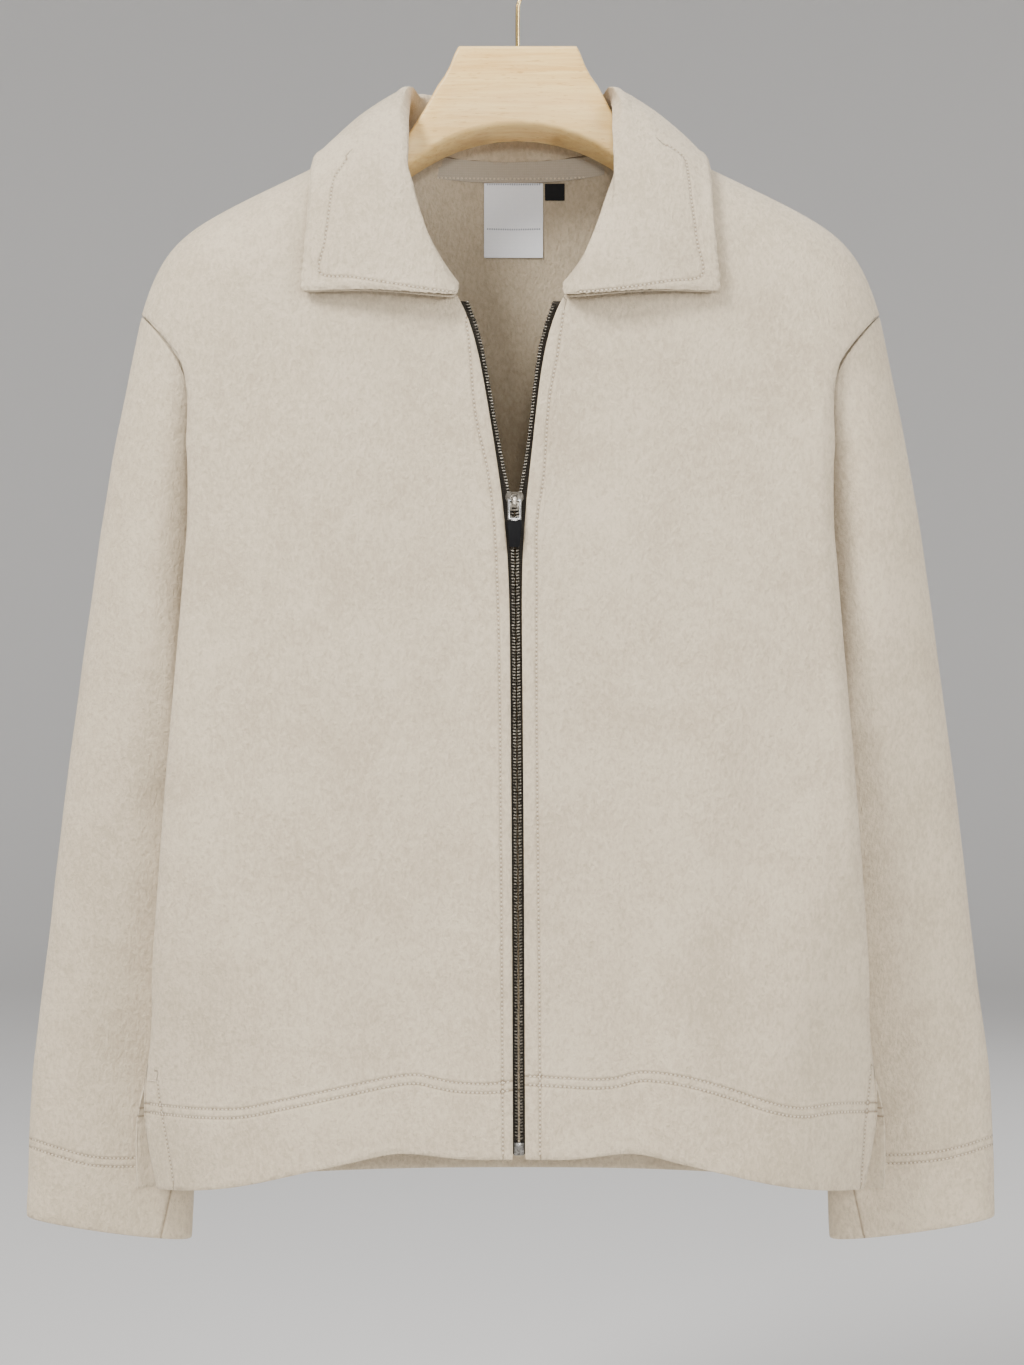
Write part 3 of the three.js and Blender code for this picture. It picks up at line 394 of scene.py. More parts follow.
def roundEdges(source, edges, offset, segments):
    bmesh.ops.bevel(
        source, geom=edges, offset=offset * mm, offset_type="OFFSET", segments=segments, profile=0.5,
        affect="EDGES", material=-1, clamp_overlap=True,
    )


# An object's frame from three scaled axes and a centre
def frameFrom(axes, centre):
    return Matrix([[*(axis[row] for axis in axes), centre[row]] for row in range(3)] + [[0, 0, 0, 1]])


def pointAt(where, along, spots):
    return Vector([np.interp(where, along, spots[:, axis]) for axis in range(3)])


def subdivided(source, levels, name):
    mesh = bpy.data.meshes.new(name + "_rough")
    source.to_mesh(mesh)
    source.free()
    rough = bpy.data.objects.new(name + "_rough", mesh)
    bpy.context.scene.collection.objects.link(rough)
    soften = rough.modifiers.new("soften", "SUBSURF")
    soften.levels = levels
    soften.render_levels = levels
    graph = bpy.context.evaluated_depsgraph_get()
    fine = bmesh.new()
    fine.from_mesh(rough.evaluated_get(graph).to_mesh())
    bpy.data.objects.remove(rough)
    bpy.data.meshes.remove(mesh)
    return fine


def fade(low, high, values):
    share = np.clip((values - low) / (high - low), 0, 1)
    return share * share * (3 - 2 * share)


# A crease is a line between two places, half and drop in mm, with a width and a depth (a ridge below zero)
def creaseDepth(half, drop, creases):
    total = np.zeros(len(half))
    for startHalf, startDrop, endHalf, endDrop, width, depth in creases:
        along = np.array([endHalf - startHalf, endDrop - startDrop], float)
        share = ((half - startHalf) * along[0] + (drop - startDrop) * along[1]) / (along @ along)
        held = np.clip(share, 0, 1)
        away = np.hypot(half - startHalf - held * along[0], drop - startDrop - held * along[1])
        wander = 1 + 0.25 * np.sin(drop / 31.0 + startHalf)
        faded = np.sin(np.pi * np.clip(share, 0.08, 0.92)) ** 0.6
        total += depth * np.exp(-((away / (width * wander)) ** 2)) * faded
    return total


def rimDistance(source, spots):
    places = []
    for edge in sharpEdges(source):
        first, second = (vert.co for vert in edge.verts)
        steps = max(1, int((second - first).length / (4 * mm)))
        places += [first.lerp(second, step / steps) for step in range(steps + 1)]
    tree = KDTree(len(places))
    for number, spot in enumerate(places):
        tree.insert(spot, number)
    tree.balance()
    return np.array([tree.find(spot)[2] for spot in spots]) / mm


def softNoise(spots, scale, seed):
    return np.array([noise.noise(Vector(spot) * scale + Vector((seed, seed * 2.3, 0))) for spot in spots])


# Every cloth piece with its look
cornerPasses = 7


def clothPiece(name, node, look):
    rough = looseCopy(node)
    roundEdges(rough, sharpEdges(rough), look["edge"], 1)
    bmesh.ops.recalc_face_normals(rough, faces=rough.faces)
    base = bmesh.new()
    base.from_mesh(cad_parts[node].data)
    bmesh.ops.remove_doubles(base, verts=base.verts, dist=0.01 * mm)
    fine = subdivided(rough, 2, name)
    spots = np.array([vert.co for vert in fine.verts])
    normals = np.array([vert.normal for vert in fine.verts])
    rim = rimDistance(base, [vert.co for vert in fine.verts])
    base.free()
    outward = look["outward"](spots)
    facing = (normals * outward).sum(1)
    held = fade(3, 24, rim) * look["held"](spots)
    depth = look["creases"](spots, outward) + look["ripple"] * softNoise(spots, 9.0, look["seed"])
    depth += 0.35 * look["ripple"] * softNoise(spots, 26.0, look["seed"] + 7)
    puff = look.get("puff", 0) * np.exp(-(((rim - 3.4) / 2.6) ** 2))
    moved = spots - outward * ((depth * held - puff) * mm)[:, None]
    for vert, spot in zip(fine.verts, moved):
        vert.co = spot
    for corner in look.get("corners", []):
        near = [vert for vert in fine.verts if (vert.co - Vector(corner)).length < 8 * mm]
        for _ in range(cornerPasses):
            bmesh.ops.smooth_vert(
                fine, verts=near, factor=0.5, use_axis_x=True, use_axis_y=True, use_axis_z=True,
            )
    piece = finishMesh(name, fine, suede, "jacket", [node])
    mesh = piece.data
    storeValues(mesh, "edge", rim)
    drop = -spots[:, 2] / mm
    # Painted shade mask: faces turned inward are darkened, fully from 380 to 430 mm down, partly above that,
    # and not at all below 700 mm
    deep = (0.34 + 0.66 * fade(230, 380, drop)) * (1 - fade(430, 700, drop))
    storeValues(mesh, "inner", np.clip(-facing * 1.4, 0, 1) * deep)
    for row in ("row", "rowNear", "pair", "pairNear"):
        storeValues(mesh, row, np.full(len(rim), noRow))
    area = sum(face.area for face in mesh.polygons) / 2
    print(name, "made,", len(mesh.polygons), "faces, area", round(area, 4))
    return piece


def halfAndDrop(spots):
    return np.abs(spots[:, 0] - middleX) / mm, -spots[:, 2] / mm


frontCreases = {
    "front_right": [
        (112, 600, 122, 800, 26, -2.4), (192, 470, 122, 720, 22, 2.2), (206, 560, 152, 770, 18, -1.9),
        (36, 420, 42, 760, 14, 1.2), (150, 226, 168, 400, 26, 2.2), (122, 290, 92, 430, 24, -1.5),
        (152, 736, 160, 812, 14, 1.8), (192, 745, 198, 816, 15, -1.6), (96, 520, 60, 700, 18, 1.2),
    ],
    "front_left": [
        (106, 590, 100, 800, 24, -2.2), (186, 500, 126, 700, 24, 2.0), (200, 600, 160, 782, 18, -2.0),
        (46, 460, 38, 740, 15, 1.0), (156, 232, 173, 380, 24, 2.0), (92, 300, 70, 450, 22, -1.4),
        (140, 735, 150, 812, 13, 1.6), (186, 750, 180, 816, 14, -1.4), (150, 430, 120, 590, 20, -1.2),
    ],
}
backCreases = [
    (22, 250, 30, 500, 30, 2.6), (-62, 300, -46, 700, 28, -2.4), (104, 262, 122, 480, 26, 2.0),
    (-150, 650, -140, 814, 24, 3.0), (-74, 690, -78, 814, 20, -2.0), (58, 670, 50, 814, 24, 3.0),
    (142, 660, 152, 814, 22, -2.4), (-128, 270, -150, 430, 24, 2.0), (0, 560, 8, 760, 22, -1.8),
]
sleeveCreases = {
    "front": [
        (234, 420, 252, 690, 13, -1.8), (206, 556, 246, 584, 10, 2.4), (216, 604, 262, 634, 12, -1.5),
        (242, 690, 258, 800, 14, 1.3), (276, 640, 291, 780, 12, -1.2), (202, 400, 212, 640, 13, 3.2),
    ],
    "back": [
        (232, 400, 256, 700, 20, 2.4), (222, 566, 272, 540, 12, -2.2), (236, 622, 282, 600, 12, 2.0),
        (216, 330, 224, 480, 14, -1.8), (254, 700, 266, 820, 15, -1.4),
    ],
}


def frontLook(name, seed):
    def creases(spots, outward):
        half, drop = halfAndDrop(spots)
        return 1.5 * creaseDepth(half, drop, frontCreases[name])

    return {
        "edge": 0.7, "seed": seed, "ripple": 1.9,
        "flat": (0.26, 0.69), "area": 0.163, "restsOn": ["hanger_body"],
        "outward": lambda spots: np.tile((0.0, -1.0, 0.0), (len(spots), 1)), "creases": creases,
        "held": lambda spots: 1.0,
    }


def backHeld(spots):
    besideNeck = fade(36, 66, halfAndDrop(spots)[0])
    belowNeck = fade(222, 260, -spots[:, 2] / mm)
    return 1 - (1 - besideNeck) * (1 - belowNeck)


def backLook():
    def creases(spots, outward):
        half, drop = (spots[:, 0] - middleX) / mm, -spots[:, 2] / mm
        return creaseDepth(half, drop, backCreases)

    return {
        "edge": 0.55, "seed": 3.1, "ripple": 1.6,
        "flat": (0.50, 0.69), "area": 0.31, "restsOn": ["hanger_body"],
        "outward": lambda spots: np.tile((0.0, 1.0, 0.0), (len(spots), 1)), "creases": creases,
        "held": backHeld,
    }


def sleeveLook(seed):
    def outward(spots):
        levels = np.linspace(spots[:, 2].min(), spots[:, 2].max(), 26)
        middles = []
        for low, high in zip(levels[:-1], levels[1:]):
            ring = spots[(spots[:, 2] >= low - 4 * mm) & (spots[:, 2] <= high + 4 * mm)]
            middles.append((ring.min(0) + ring.max(0)) / 2)
        middles = np.array(middles)
        heights = (levels[:-1] + levels[1:]) / 2
        away = np.zeros_like(spots)
        for axis in (0, 1):
            away[:, axis] = spots[:, axis] - np.interp(spots[:, 2], heights, middles[:, axis])
        away[:, 0] *= 0.35
        return away / np.maximum(np.linalg.norm(away, axis=1), 1e-6)[:, None]

    def creases(spots, outwards):
        half, drop = halfAndDrop(spots)
        toFront = fade(-0.3, 0.5, -outwards[:, 1])
        front = creaseDepth(half, drop, sleeveCreases["front"])
        back = creaseDepth(half, drop, sleeveCreases["back"])
        return toFront * front + (1 - toFront) * back

    return {
        "edge": 0.55, "seed": seed, "ripple": 1.2, "flat": (0.42, 0.61), "area": 0.147, "restsOn": ["back"],
        "outward": outward, "creases": creases,
        "held": lambda spots: 1.0,
    }


collarCorners = [
    (-0.1345, -0.056, -0.2535), (0.1255, -0.056, -0.2535),
    (-0.0385, -0.063, -0.2545), (0.0295, -0.063, -0.2545),
]


def collarLook(seed, puff):
    def outward(spots):
        away = spots - np.array((middleX, 0.0, 0.0))
        away[:, 2] = 0.06
        return away / np.linalg.norm(away, axis=1)[:, None]

    return {
        "edge": 0.45, "seed": seed, "ripple": 0.5, "flat": (0.50, 0.11), "area": 0.044, "restsOn": ["back"],
        "puff": puff, "corners": collarCorners,
        "outward": outward, "creases": lambda spots, outwards: np.zeros(len(spots)),
        "held": lambda spots: 1.0,
    }


frontRight = clothPiece("right_front_panel", "front_right", frontLook("front_right", 1.7))
frontLeft = clothPiece("left_front_panel", "front_left", frontLook("front_left", 5.3))
backPanel = clothPiece("back_panel", "back", backLook())
sleeveRight = clothPiece("right_sleeve", "sleeve_right", sleeveLook(8.2))
sleeveLeft = clothPiece("left_sleeve", "sleeve_left", sleeveLook(11.9))
collarUpper = clothPiece("collar_top_layer", "collar_upper", collarLook(2.2, 1.3))
collarUnder = clothPiece("collar_under_layer", "collar_under", collarLook(2.2, -0.35))


def hardPiece(name, node, finish, body, edge=0.0, segments=2, angle=30):
    source = looseCopy(node, 3)
    if edge:
        roundEdges(source, sharpEdges(source, angle), edge, segments)
    piece = finishMesh(name, source, finish, body, [node])
    piece.data.set_sharp_from_angle(angle=math.radians(38))
    return piece


hardPiece("wooden_hanger", "hanger_body", beech, "jacket", 0.9, 2, 40)
hardPiece("hanger_wire_hook", "hanger_hook", hookBrass, "jacket")
hardPiece("zip_slider_body", "zip_slider", sliderMetal, "jacket", 0.28, 2, 35)
hardPiece("zip_stop", "zip_bottom_stop", stopMetal, "jacket", 0.6, 2, 35)
hardPiece("pull_link", "zip_pull_link", linkMetal, "zip_pull", 0.35, 2, 35)
hardPiece("pull_grip", "zip_pull_grip", rubber, "zip_pull", 0.7, 2, 35)
hardPiece("right_zip_tape", "zip_tape_right", zipTapeCloth, "jacket")
hardPiece("left_zip_tape", "zip_tape_left", zipTapeCloth, "jacket")
neckTape = hardPiece("neck_seam_tape", "neck_tape", neckTapeCloth, "jacket", 0.25, 1, 50)

# Stretched, the neck tape reaches up onto the collar's stand
tapeLook = {"wider": 1.1, "rise": 3.2, "forward": 0.9}


def stretchTape(piece):
    spots = coordinates(piece.data)
    order = np.argsort(spots[:, 0])
    line = np.interp(spots[:, 0], spots[order, 0], np.convolve(spots[order, 2], np.ones(9) / 9, "same"))
    upper = fade(-1.5, 3, (spots[:, 2] - line) / mm)
    spots[:, 2] += upper * tapeLook["rise"] * mm
    spots[:, 1] -= upper * tapeLook["forward"] * mm
    spots[:, 0] = middleX + (spots[:, 0] - middleX) * tapeLook["wider"]
    piece.data.vertices.foreach_set("co", spots.astype(np.float32).ravel())
    storePlace(piece.data)


stretchTape(neckTape)
whiteLabel = hardPiece("white_neck_label", "label_main", labelSatin, "jacket", 0.2, 1, 50)
hardPiece("black_neck_tab", "label_size", labelBlack, "jacket", 0.2, 1, 50)
print("hard pieces and tapes made")


# Sewing. Rows on the front are read as photo places and thrown along the camera's sight onto the cloth
def sightFrom(across, down):
    eye = Vector(view["place"])
    aim = Vector((
        view["place"][0] + (across - view["acrossPixel"]) * view["pixel"], 0,
        view["place"][2] + (view["downPixel"] - down) * view["pixel"],
    ))
    return eye, (aim - eye).normalized()


def treeOf(*pieces):
    spots, faces = [], []
    for piece in pieces:
        first = len(spots)
        spots += [vert.co.copy() for vert in piece.data.vertices]
        faces += [[first + number for number in face.vertices] for face in piece.data.polygons]
    return BVHTree.FromPolygons(spots, faces)


def softLine(points, step):
    spots = [Vector((*point, 0)) if len(point) == 2 else Vector(point) for point in points]
    spots = [spots[0] * 2 - spots[1], *spots, spots[-1] * 2 - spots[-2]]
    line = []
    for before, start, end, after in zip(spots, spots[1:], spots[2:], spots[3:]):
        count = max(1, round((end - start).length / step))
        for number in range(count):
            t = number / count
            bend = (2 * before - 5 * start + 4 * end - after) * t * t
            twist = (3 * start - before - 3 * end + after) * t ** 3
            line.append(0.5 * (2 * start + (end - before) * t + bend + twist))
    return [*line, spots[-2]]


def onPhoto(tree, points):
    hits = []
    for spot in softLine(points, 4):
        eye, toward = sightFrom(spot.x, spot.y)
        hit, normal, _, _ = tree.ray_cast(eye, toward)
        if hit is not None:
            hits.append((hit, normal))
    return hits


def onSide(tree, points, side):
    hits = []
    for spot in softLine([(middleX / mm + half, -drop) for half, drop in points], 2.5):
        start = Vector((spot.x * mm, side * 0.3, spot.y * mm))
        hit, normal, _, _ = tree.ray_cast(start, Vector((0, -side, 0)))
        if hit is not None:
            hits.append((hit, normal))
    return hits


sewing = {"pitch": 2.7, "length": 1.75, "width": 0.66, "height": 0.42, "lift": 0.0}


def addStitches(source, hits, pitch=sewing["pitch"], length=sewing["length"], lift=sewing["lift"]):
    along = [0.0]
    for (first, _), (second, _) in zip(hits[:-1], hits[1:]):
        along.append(along[-1] + (second - first).length / mm)
    spots = np.array([spot for spot, _ in hits])
    normals = np.array([normal for _, normal in hits])

    def at(where):
        return pointAt(where, along, spots), pointAt(where, along, normals).normalized()

    where = 0.5
    while where + length < along[-1]:
        (start, _), (end, _) = at(where), at(where + length)
        middle, up = at(where + length / 2)
        forward = (end - start).normalized()
        sideways = up.cross(forward).normalized()
        up = forward.cross(sideways)
        middle = middle + up * lift * mm
        half = (end - start).length / 2
        axes = (forward * half, sideways * sewing["width"] * mm, up * sewing["height"] * mm)
        turn = frameFrom(axes, middle) @ Matrix.Rotation(math.pi / 2, 4, "Y")
        bmesh.ops.create_uvsphere(source, u_segments=6, v_segments=4, radius=1, matrix=turn)
        where += pitch


def signedAway(points, line):
    best = np.full(len(points), noRow)
    for first, second in zip(line[:-1], line[1:]):
        along = second - first
        if along @ along < 1e-9:
            continue
        share = np.clip(((points - first) @ along) / (along @ along), 0, 1)
        off = points - first - share[:, None] * along
        away = np.hypot(off[:, 0], off[:, 1])
        side = np.where(along[0] * off[:, 1] - along[1] * off[:, 0] < 0, -1.0, 1.0)
        nearer = away < np.abs(best)
        best[nearer] = (away * side)[nearer]
    return best


def markRow(piece, name, hits, facing=0):
    flat = coordinates(piece.data)[:, [0, 2]] / mm
    line = np.array([(spot.x, spot.z) for spot, _ in hits]) / mm
    if name == "pair":
        line = np.array([line[0] + (line[0] - line[2]) * 4, *line, line[-1] + (line[-1] - line[-3]) * 4])
    away = signedAway(flat, line)
    layer = piece.data.attributes[name]
    values = np.zeros(len(flat), np.float32)
    layer.data.foreach_get("value", values)
    if facing:
        depth = coordinates(piece.data)[:, 1]
        away = np.where(depth * facing > -4 * mm, away, noRow)
    nearer = np.abs(away) < np.abs(values)
    values[nearer] = away[nearer]
    layer.data.foreach_set("value", values)
    storeValues(piece.data, name + "Near", np.abs(values))


def between(upper, lower):
    return [((first + second) / 2, normal) for (first, normal), (second, _) in zip(upper, lower)]


# Each row: the piece it is sewn on, and its places in the photo
frontRows = {
    "right_front_panel": {
        "edge": [
            [(465, 314), (468, 334), (470, 352), (471.5, 372), (476, 418), (487, 467), (494, 522), (498, 604),
             (500, 720), (501, 860), (502, 1000), (502.5, 1090), (503, 1155)],
            [(157.5, 1081), (160.5, 1106), (170, 1160), (173.5, 1184)],
        ],
        "tack": [(147, 1080), (159, 1081.5)],
        "upper": [
            (150, 1104), (157, 1105), (200, 1109), (241, 1109), (282, 1101), (343, 1088), (384, 1079),
            (414, 1075), (435, 1079), (455, 1083), (486, 1084.5), (502, 1083), (512, 1081.5),
        ],
    },
    "left_front_panel": {
        "edge": [
            [(564, 310), (561, 330), (557, 358), (549, 402), (543.5, 478), (537, 520), (536.7, 581),
             (536.5, 700), (538, 860), (539.5, 1000), (540, 1090), (540, 1156)],
            [(871, 1071), (868, 1100), (865, 1130), (861, 1186)],
        ],
        "tack": [(868, 1071), (880, 1070)],
        "upper": [
            (528, 1076.5), (541, 1077), (566, 1078.5), (596, 1080), (618, 1078), (641, 1072.5), (672, 1075),
            (704, 1082), (737, 1092), (769, 1103), (802, 1108.5), (834, 1104), (866, 1103),
        ],
    },
}
cuffRows = {
    "right_sleeve": [(28, 1138), (58, 1148), (93, 1157), (136, 1158), (176, 1153)],
    "left_sleeve": [(992, 1136), (967, 1145), (936, 1152), (892, 1155), (850, 1152)],
}
underarmSeams = {
    "right_sleeve": [(173, 1182), (166, 1214), (160, 1241)],
    "left_sleeve": [(852, 1182), (859, 1214), (865, 1243)],
}
collarFront = [
    [(346, 160), (338, 172), (333, 181), (329, 210), (324.5, 243), (320, 273), (352, 277), (390, 283),
     (425, 288.5), (449, 291.5)],
    [(668, 145), (679, 153), (686, 160), (691, 195), (697, 240), (702, 275), (668, 281), (632, 286.5),
     (600, 290.5), (578, 292)],
]
collarBack = [
    (-114, 153.5), (-100, 158.5), (-72, 163.5), (-36, 165), (0, 165.5), (36, 165), (72, 163.5),
    (100, 158.5), (114, 153.5),
]
hemBack = [
    (-236, 772), (-190, 771), (-120, 769.5), (-40, 768), (40, 768), (120, 769.5), (190, 771), (236, 772),
]
rowGap = 8.6  # photo steps between the two rows of the hem and the cuffs
backGap = 5.5  # mm between the two rows on the back
tackStitch = {"pitch": 1.25, "length": 1.2, "lift": 0.2}
labelStitch = {"pitch": 1.5, "length": 1.25}
sewnRows = {}


def sewnOn(name, piece, source):
    rows = finishMesh(name, source, creamThread, "jacket")
    sewnRows.setdefault(piece, []).append(rows)


def sewPair(piece, source, upper, lower):
    markRow(piece, "pair", between(upper, lower))
    addStitches(source, upper)
    addStitches(source, lower)


def sewFront(piece):
    tree = treeOf(piece)
    source = bmesh.new()
    rows = frontRows[piece.name]
    for line in rows["edge"]:
        hits = onPhoto(tree, line)
        markRow(piece, "row", hits)
        addStitches(source, hits)
    addStitches(source, onPhoto(tree, rows["tack"]), **tackStitch)
    upper = onPhoto(tree, rows["upper"])
    lower = onPhoto(tree, [(across, down + rowGap) for across, down in rows["upper"]])
    sewPair(piece, source, upper, lower)
    sewnOn(piece.name + "_stitches", piece, source)


def sewSleeve(piece):
    tree = treeOf(piece)
    source = bmesh.new()
    markRow(piece, "row", onPhoto(tree, underarmSeams[piece.name]))
    upper = onPhoto(tree, cuffRows[piece.name])
    lower = onPhoto(tree, [(across, down + rowGap) for across, down in cuffRows[piece.name]])
    markRow(piece, "pair", between(upper, lower))
    for hits in (upper, lower):
        addStitches(source, hits)
        behind = onSide(tree, [(spot.x / mm - middleX / mm, -spot.z / mm) for spot, _ in hits[::3]], 1)
        addStitches(source, behind)
    sewnOn(piece.name + "_stitches", piece, source)


def sewBack(piece):
    tree = treeOf(piece)
    source = bmesh.new()
    upper = onSide(tree, hemBack, 1)
    lower = onSide(tree, [(half, drop + backGap) for half, drop in hemBack], 1)
    sewPair(piece, source, upper, lower)
    sewnOn(piece.name + "_stitches", piece, source)


def sewCollar(piece):
    tree = treeOf(piece)
    source = bmesh.new()
    for line in collarFront:
        hits = onPhoto(tree, line)
        markRow(piece, "row", hits, -1)
        addStitches(source, hits)
    hits = onSide(tree, collarBack, 1)
    markRow(piece, "row", hits, 1)
    addStitches(source, hits)
    sewnOn(piece.name + "_stitches", piece, source)


sewFront(frontRight)
sewFront(frontLeft)
sewSleeve(sleeveRight)
sewSleeve(sleeveLeft)
sewBack(backPanel)
sewCollar(collarUpper)


def sewNeck():
    source = bmesh.new()
    stand = treeOf(collarUnder, collarUpper)
    standRow = [(414, 171), (440, 168.5), (480, 166), (530, 165.5), (575, 167), (608, 170)]
    addStitches(source, onPhoto(stand, standRow))
    tape = treeOf(neckTape)
    addStitches(source, onPhoto(tape, [(424, 177.5), (470, 178.5), (520, 179), (560, 178.5), (600, 177)]))
    sewnOn("neck_tape_stitches", collarUnder, source)
    thread = bmesh.new()
    label = treeOf(whiteLabel)
    addStitches(thread, onPhoto(label, [(486, 229), (514, 229.5), (541, 229)]), **labelStitch)
    addStitches(thread, onPhoto(label, [(486, 184.5), (541, 184.5)]), **labelStitch)
    finishMesh("label_stitches", thread, greyThread, "jacket")


sewNeck()


# A seam between two pieces: a soft roll of the same cloth that lies in the gap
def seamRoll(name, line, thick, closed, owner):
    roll = bpy.data.curves.new(name, "CURVE")
    roll.dimensions = "3D"
    roll.bevel_depth = thick * mm
    roll.bevel_resolution = 3
    roll.resolution_u = 4
    roll.use_fill_caps = True
    spline = roll.splines.new("NURBS")
    spline.points.add(len(line) - 1)
    for point, spot in zip(spline.points, line):
        point.co = (*spot, 1)
    spline.use_cyclic_u = closed
    spline.use_endpoint_u = not closed
    spline.order_u = 4
    shape = bpy.data.objects.new(name + "_line", roll)
    bpy.context.scene.collection.objects.link(shape)
    graph = bpy.context.evaluated_depsgraph_get()
    made = bmesh.new()
    made.from_mesh(shape.evaluated_get(graph).to_mesh())
    bpy.data.objects.remove(shape)
    bmesh.ops.remove_doubles(made, verts=made.verts, dist=0.01 * mm)
    bmesh.ops.recalc_face_normals(made, faces=made.faces)
    seam = finishMesh(name, made, seamSuede, "jacket")
    for row in ("row", "rowNear", "pair", "pairNear", "edge"):
        storeValues(seam.data, row, np.full(len(seam.data.vertices), noRow))
    sewnRows.setdefault(owner, []).append(seam)


# The armhole seams run round the sleeve's upper rim, above the lowest height
armholeRoll = {"thick": 2.1, "sunk": 1.0, "inboard": 1.6, "points": 44, "lowest": -0.4625}
nearTurn = math.pi / 16


def armholeSeam(name, sleeve, node):
    source = looseCopy(node)
    ring = []
    for edge in sharpEdges(source):
        ring += [vert.co.copy() for vert in edge.verts if vert.co.z > armholeRoll["lowest"]]
    source.free()
    middle = sum(ring, Vector()) / len(ring)
    toBody = Vector((math.copysign(armholeRoll["inboard"] * mm, middleX - middle.x), 0, 0))
    line = []
    for number in range(armholeRoll["points"]):
        angle = -math.pi + 2 * math.pi * (number + 0.5) / armholeRoll["points"]
        turns = [math.atan2(spot.y - middle.y, spot.z - middle.z) - angle for spot in ring]
        near = [spot for spot, turn in zip(ring, turns) if abs(math.remainder(turn, 2 * math.pi)) < nearTurn]
        if near:
            spot = sum(near, Vector()) / len(near)
            line.append(spot + (middle - spot).normalized() * armholeRoll["sunk"] * mm + toBody)
    seamRoll(name, line, armholeRoll["thick"], True, sleeve)


# The shoulder seams follow the front panel's top edge, places in mm from the jacket's middle
shoulderRoll = {
    "from": 84, "to": 222, "step": 7, "thick": 1.5, "sunk": 1.4,
    "nearLine": 1.5, "lowest": -0.262, "inner": 76,
}


def shoulderSeam(name, piece, node):
    spots = coordinates(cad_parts[node].data)
    side = 1 if node == "front_left" else -1
    half = (spots[:, 0] - middleX) * side / mm
    ridge = np.abs(spots[:, 1]) < shoulderRoll["nearLine"] * mm
    ridge &= (spots[:, 2] > shoulderRoll["lowest"]) & (half > shoulderRoll["inner"])
    order = np.argsort(half[ridge])
    across, height = half[ridge][order], spots[ridge][order][:, 2]
    line = []
    for reach in np.arange(shoulderRoll["from"], shoulderRoll["to"], shoulderRoll["step"]):
        top = np.interp(reach, across, height) - shoulderRoll["sunk"] * mm
        line.append(Vector((middleX + side * reach * mm, 0.2 * mm, top)))
    seamRoll(name, line, shoulderRoll["thick"], False, piece)


shoulderSeam("right_shoulder_seam", frontRight, "front_right")
shoulderSeam("left_shoulder_seam", frontLeft, "front_left")
armholeSeam("right_armhole_seam", sleeveRight, "sleeve_right")
armholeSeam("left_armhole_seam", sleeveLeft, "sleeve_left")
print("stitch rows sewn")


# The zip's teeth stand on the line that each chain follows, the two sides half a step apart
zipLook = {"start": 0.8, "pitch": 1.95, "long": 2.35, "tall": 1.1, "deep": 2.3, "lean": 0.22, "edge": 0.24}


def chainLine(node):
    spots = coordinates(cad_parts[node].data)
    levels = np.unique(np.round(spots[:, 2] / mm, 1))
    line = []
    for level in levels:
        ring = spots[np.abs(spots[:, 2] / mm - level) < 0.3]
        if len(ring) >= 4:
            line.append((ring.min(0) + ring.max(0)) / 2)
    return np.array(sorted(line, key=lambda spot: -spot[2]))


def zipTeeth(name, node, side, start):
    line = chainLine(node)
    along = np.concatenate([[0], np.cumsum(np.linalg.norm(np.diff(line, axis=0), axis=1))]) / mm
    source = bmesh.new()
    where = start
    while where < along[-1] - 1:
        centre = pointAt(where, along, line)
        ahead = pointAt(where + 1, along, line)
        down = (ahead - centre).normalized()
        across = Vector((0, 1, 0)).cross(down).normalized()
        out = down.cross(across)
        across = (across + down * side * zipLook["lean"]).normalized()
        sizes = (zipLook["long"] * mm, zipLook["deep"] * mm, zipLook["tall"] * mm)
        axes = (across * sizes[0], out * sizes[1], down * sizes[2])
        bmesh.ops.create_cube(source, size=1, matrix=frameFrom(axes, centre))
        where += zipLook["pitch"]
    bmesh.ops.recalc_face_normals(source, faces=source.faces)
    roundEdges(source, source.edges, zipLook["edge"], 1)
    finishMesh(name, source, teethBrass, "jacket", [node], smooth=False)


zipTeeth("right_zip_teeth", "zip_chain_right", -1, zipLook["start"])
zipTeeth("left_zip_teeth", "zip_chain_left", 1, zipLook["start"] + zipLook["pitch"] / 2)
print("zip teeth set")

# The stage: a pale floor that rises softly all round
stageLook = {"floor": -1.12, "radius": 3.4, "rise": 1.0, "top": 4.5, "bends": 8, "colour": (0.72, 0.71, 0.70)}


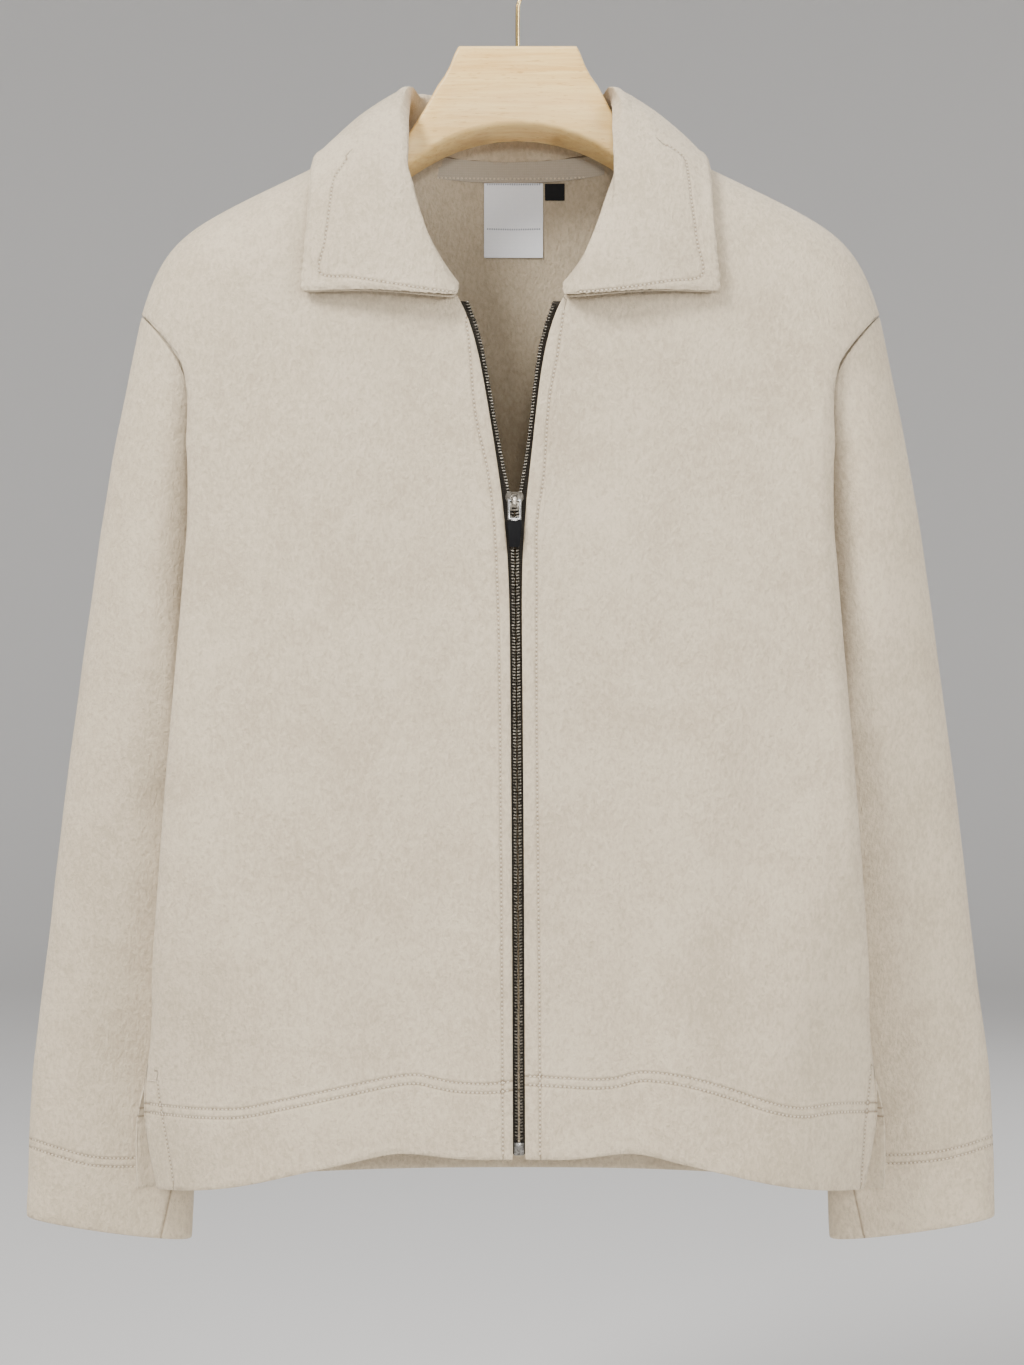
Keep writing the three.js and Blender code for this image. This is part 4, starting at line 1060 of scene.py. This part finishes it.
def makeStage():
    source = bmesh.new()
    profile = [Vector((0.0, 0, stageLook["floor"])), Vector((stageLook["radius"], 0, stageLook["floor"]))]
    for step in range(1, stageLook["bends"] + 1):
        turn = math.pi / 2 * step / stageLook["bends"]
        profile.append(Vector((
            stageLook["radius"] + stageLook["rise"] * math.sin(turn), 0,
            stageLook["floor"] + stageLook["rise"] * (1 - math.cos(turn)),
        )))
    profile.append(Vector((stageLook["radius"] + stageLook["rise"], 0, stageLook["top"])))
    verts = [source.verts.new(spot) for spot in profile]
    edges = [source.edges.new(pair) for pair in zip(verts[:-1], verts[1:])]
    bmesh.ops.spin(
        source, geom=verts + edges, cent=(0, 0, 0), axis=(0, 0, 1), angle=2 * math.pi, steps=64,
        use_merge=True,
    )
    bmesh.ops.remove_doubles(source, verts=source.verts, dist=mm)
    bmesh.ops.recalc_face_normals(source, faces=source.faces)
    mesh = bpy.data.meshes.new("pale_floor")
    source.to_mesh(mesh)
    source.free()
    mesh.polygons.foreach_set("use_smooth", [True] * len(mesh.polygons))
    finish, _, _, shader = newFinish("pale_floor_paint")
    shader.inputs["Base Color"].default_value = (*stageLook["colour"], 1)
    shader.inputs["Roughness"].default_value = 0.9
    mesh.materials.append(finish)
    floor = bpy.data.objects.new("pale_floor", mesh)
    bpy.context.scene.collection.objects.link(floor)


makeStage()

# Each lamp: place, width, power and colour, aimed at the middle of the jacket
lamps = {
    "key": ((-1.3, -1.25, 1.3), 0.8, 88, (1.0, 0.985, 0.96)),
    "fill": ((1.8, -1.3, 0.3), 1.0, 30, (0.99, 0.99, 1.0)),
    "front": ((0.05, -2.5, -0.1), 0.5, 22, (1.0, 0.99, 0.98)),
    "top": ((0.2, 0.1, 1.6), 1.4, 12, (1.0, 1.0, 1.0)),
    "back": ((0.9, 1.9, 0.6), 1.6, 14, (1.0, 1.0, 1.0)),
}
lampAim = Vector((0, 0, -0.5))
for lampName, (where, width, power, colour) in lamps.items():
    lamp = bpy.data.lights.new(lampName, "AREA")
    lamp.shape = "DISK"
    lamp.size = width
    lamp.energy = power
    lamp.color = colour
    light = bpy.data.objects.new(lampName, lamp)
    bpy.context.scene.collection.objects.link(light)
    light.location = where
    light.rotation_mode = "QUATERNION"
    light.rotation_quaternion = (lampAim - Vector(where)).to_track_quat("-Z", "Y")
skyLook = {"colour": (0.95, 0.97, 1.0), "strength": 0.26}
world = bpy.data.worlds.new("studio")
bpy.context.scene.world = world
world.use_nodes = True
sky = world.node_tree.nodes["Background"]
sky.inputs["Color"].default_value = (*skyLook["colour"], 1)
sky.inputs["Strength"].default_value = skyLook["strength"]
print("stage and lights set")
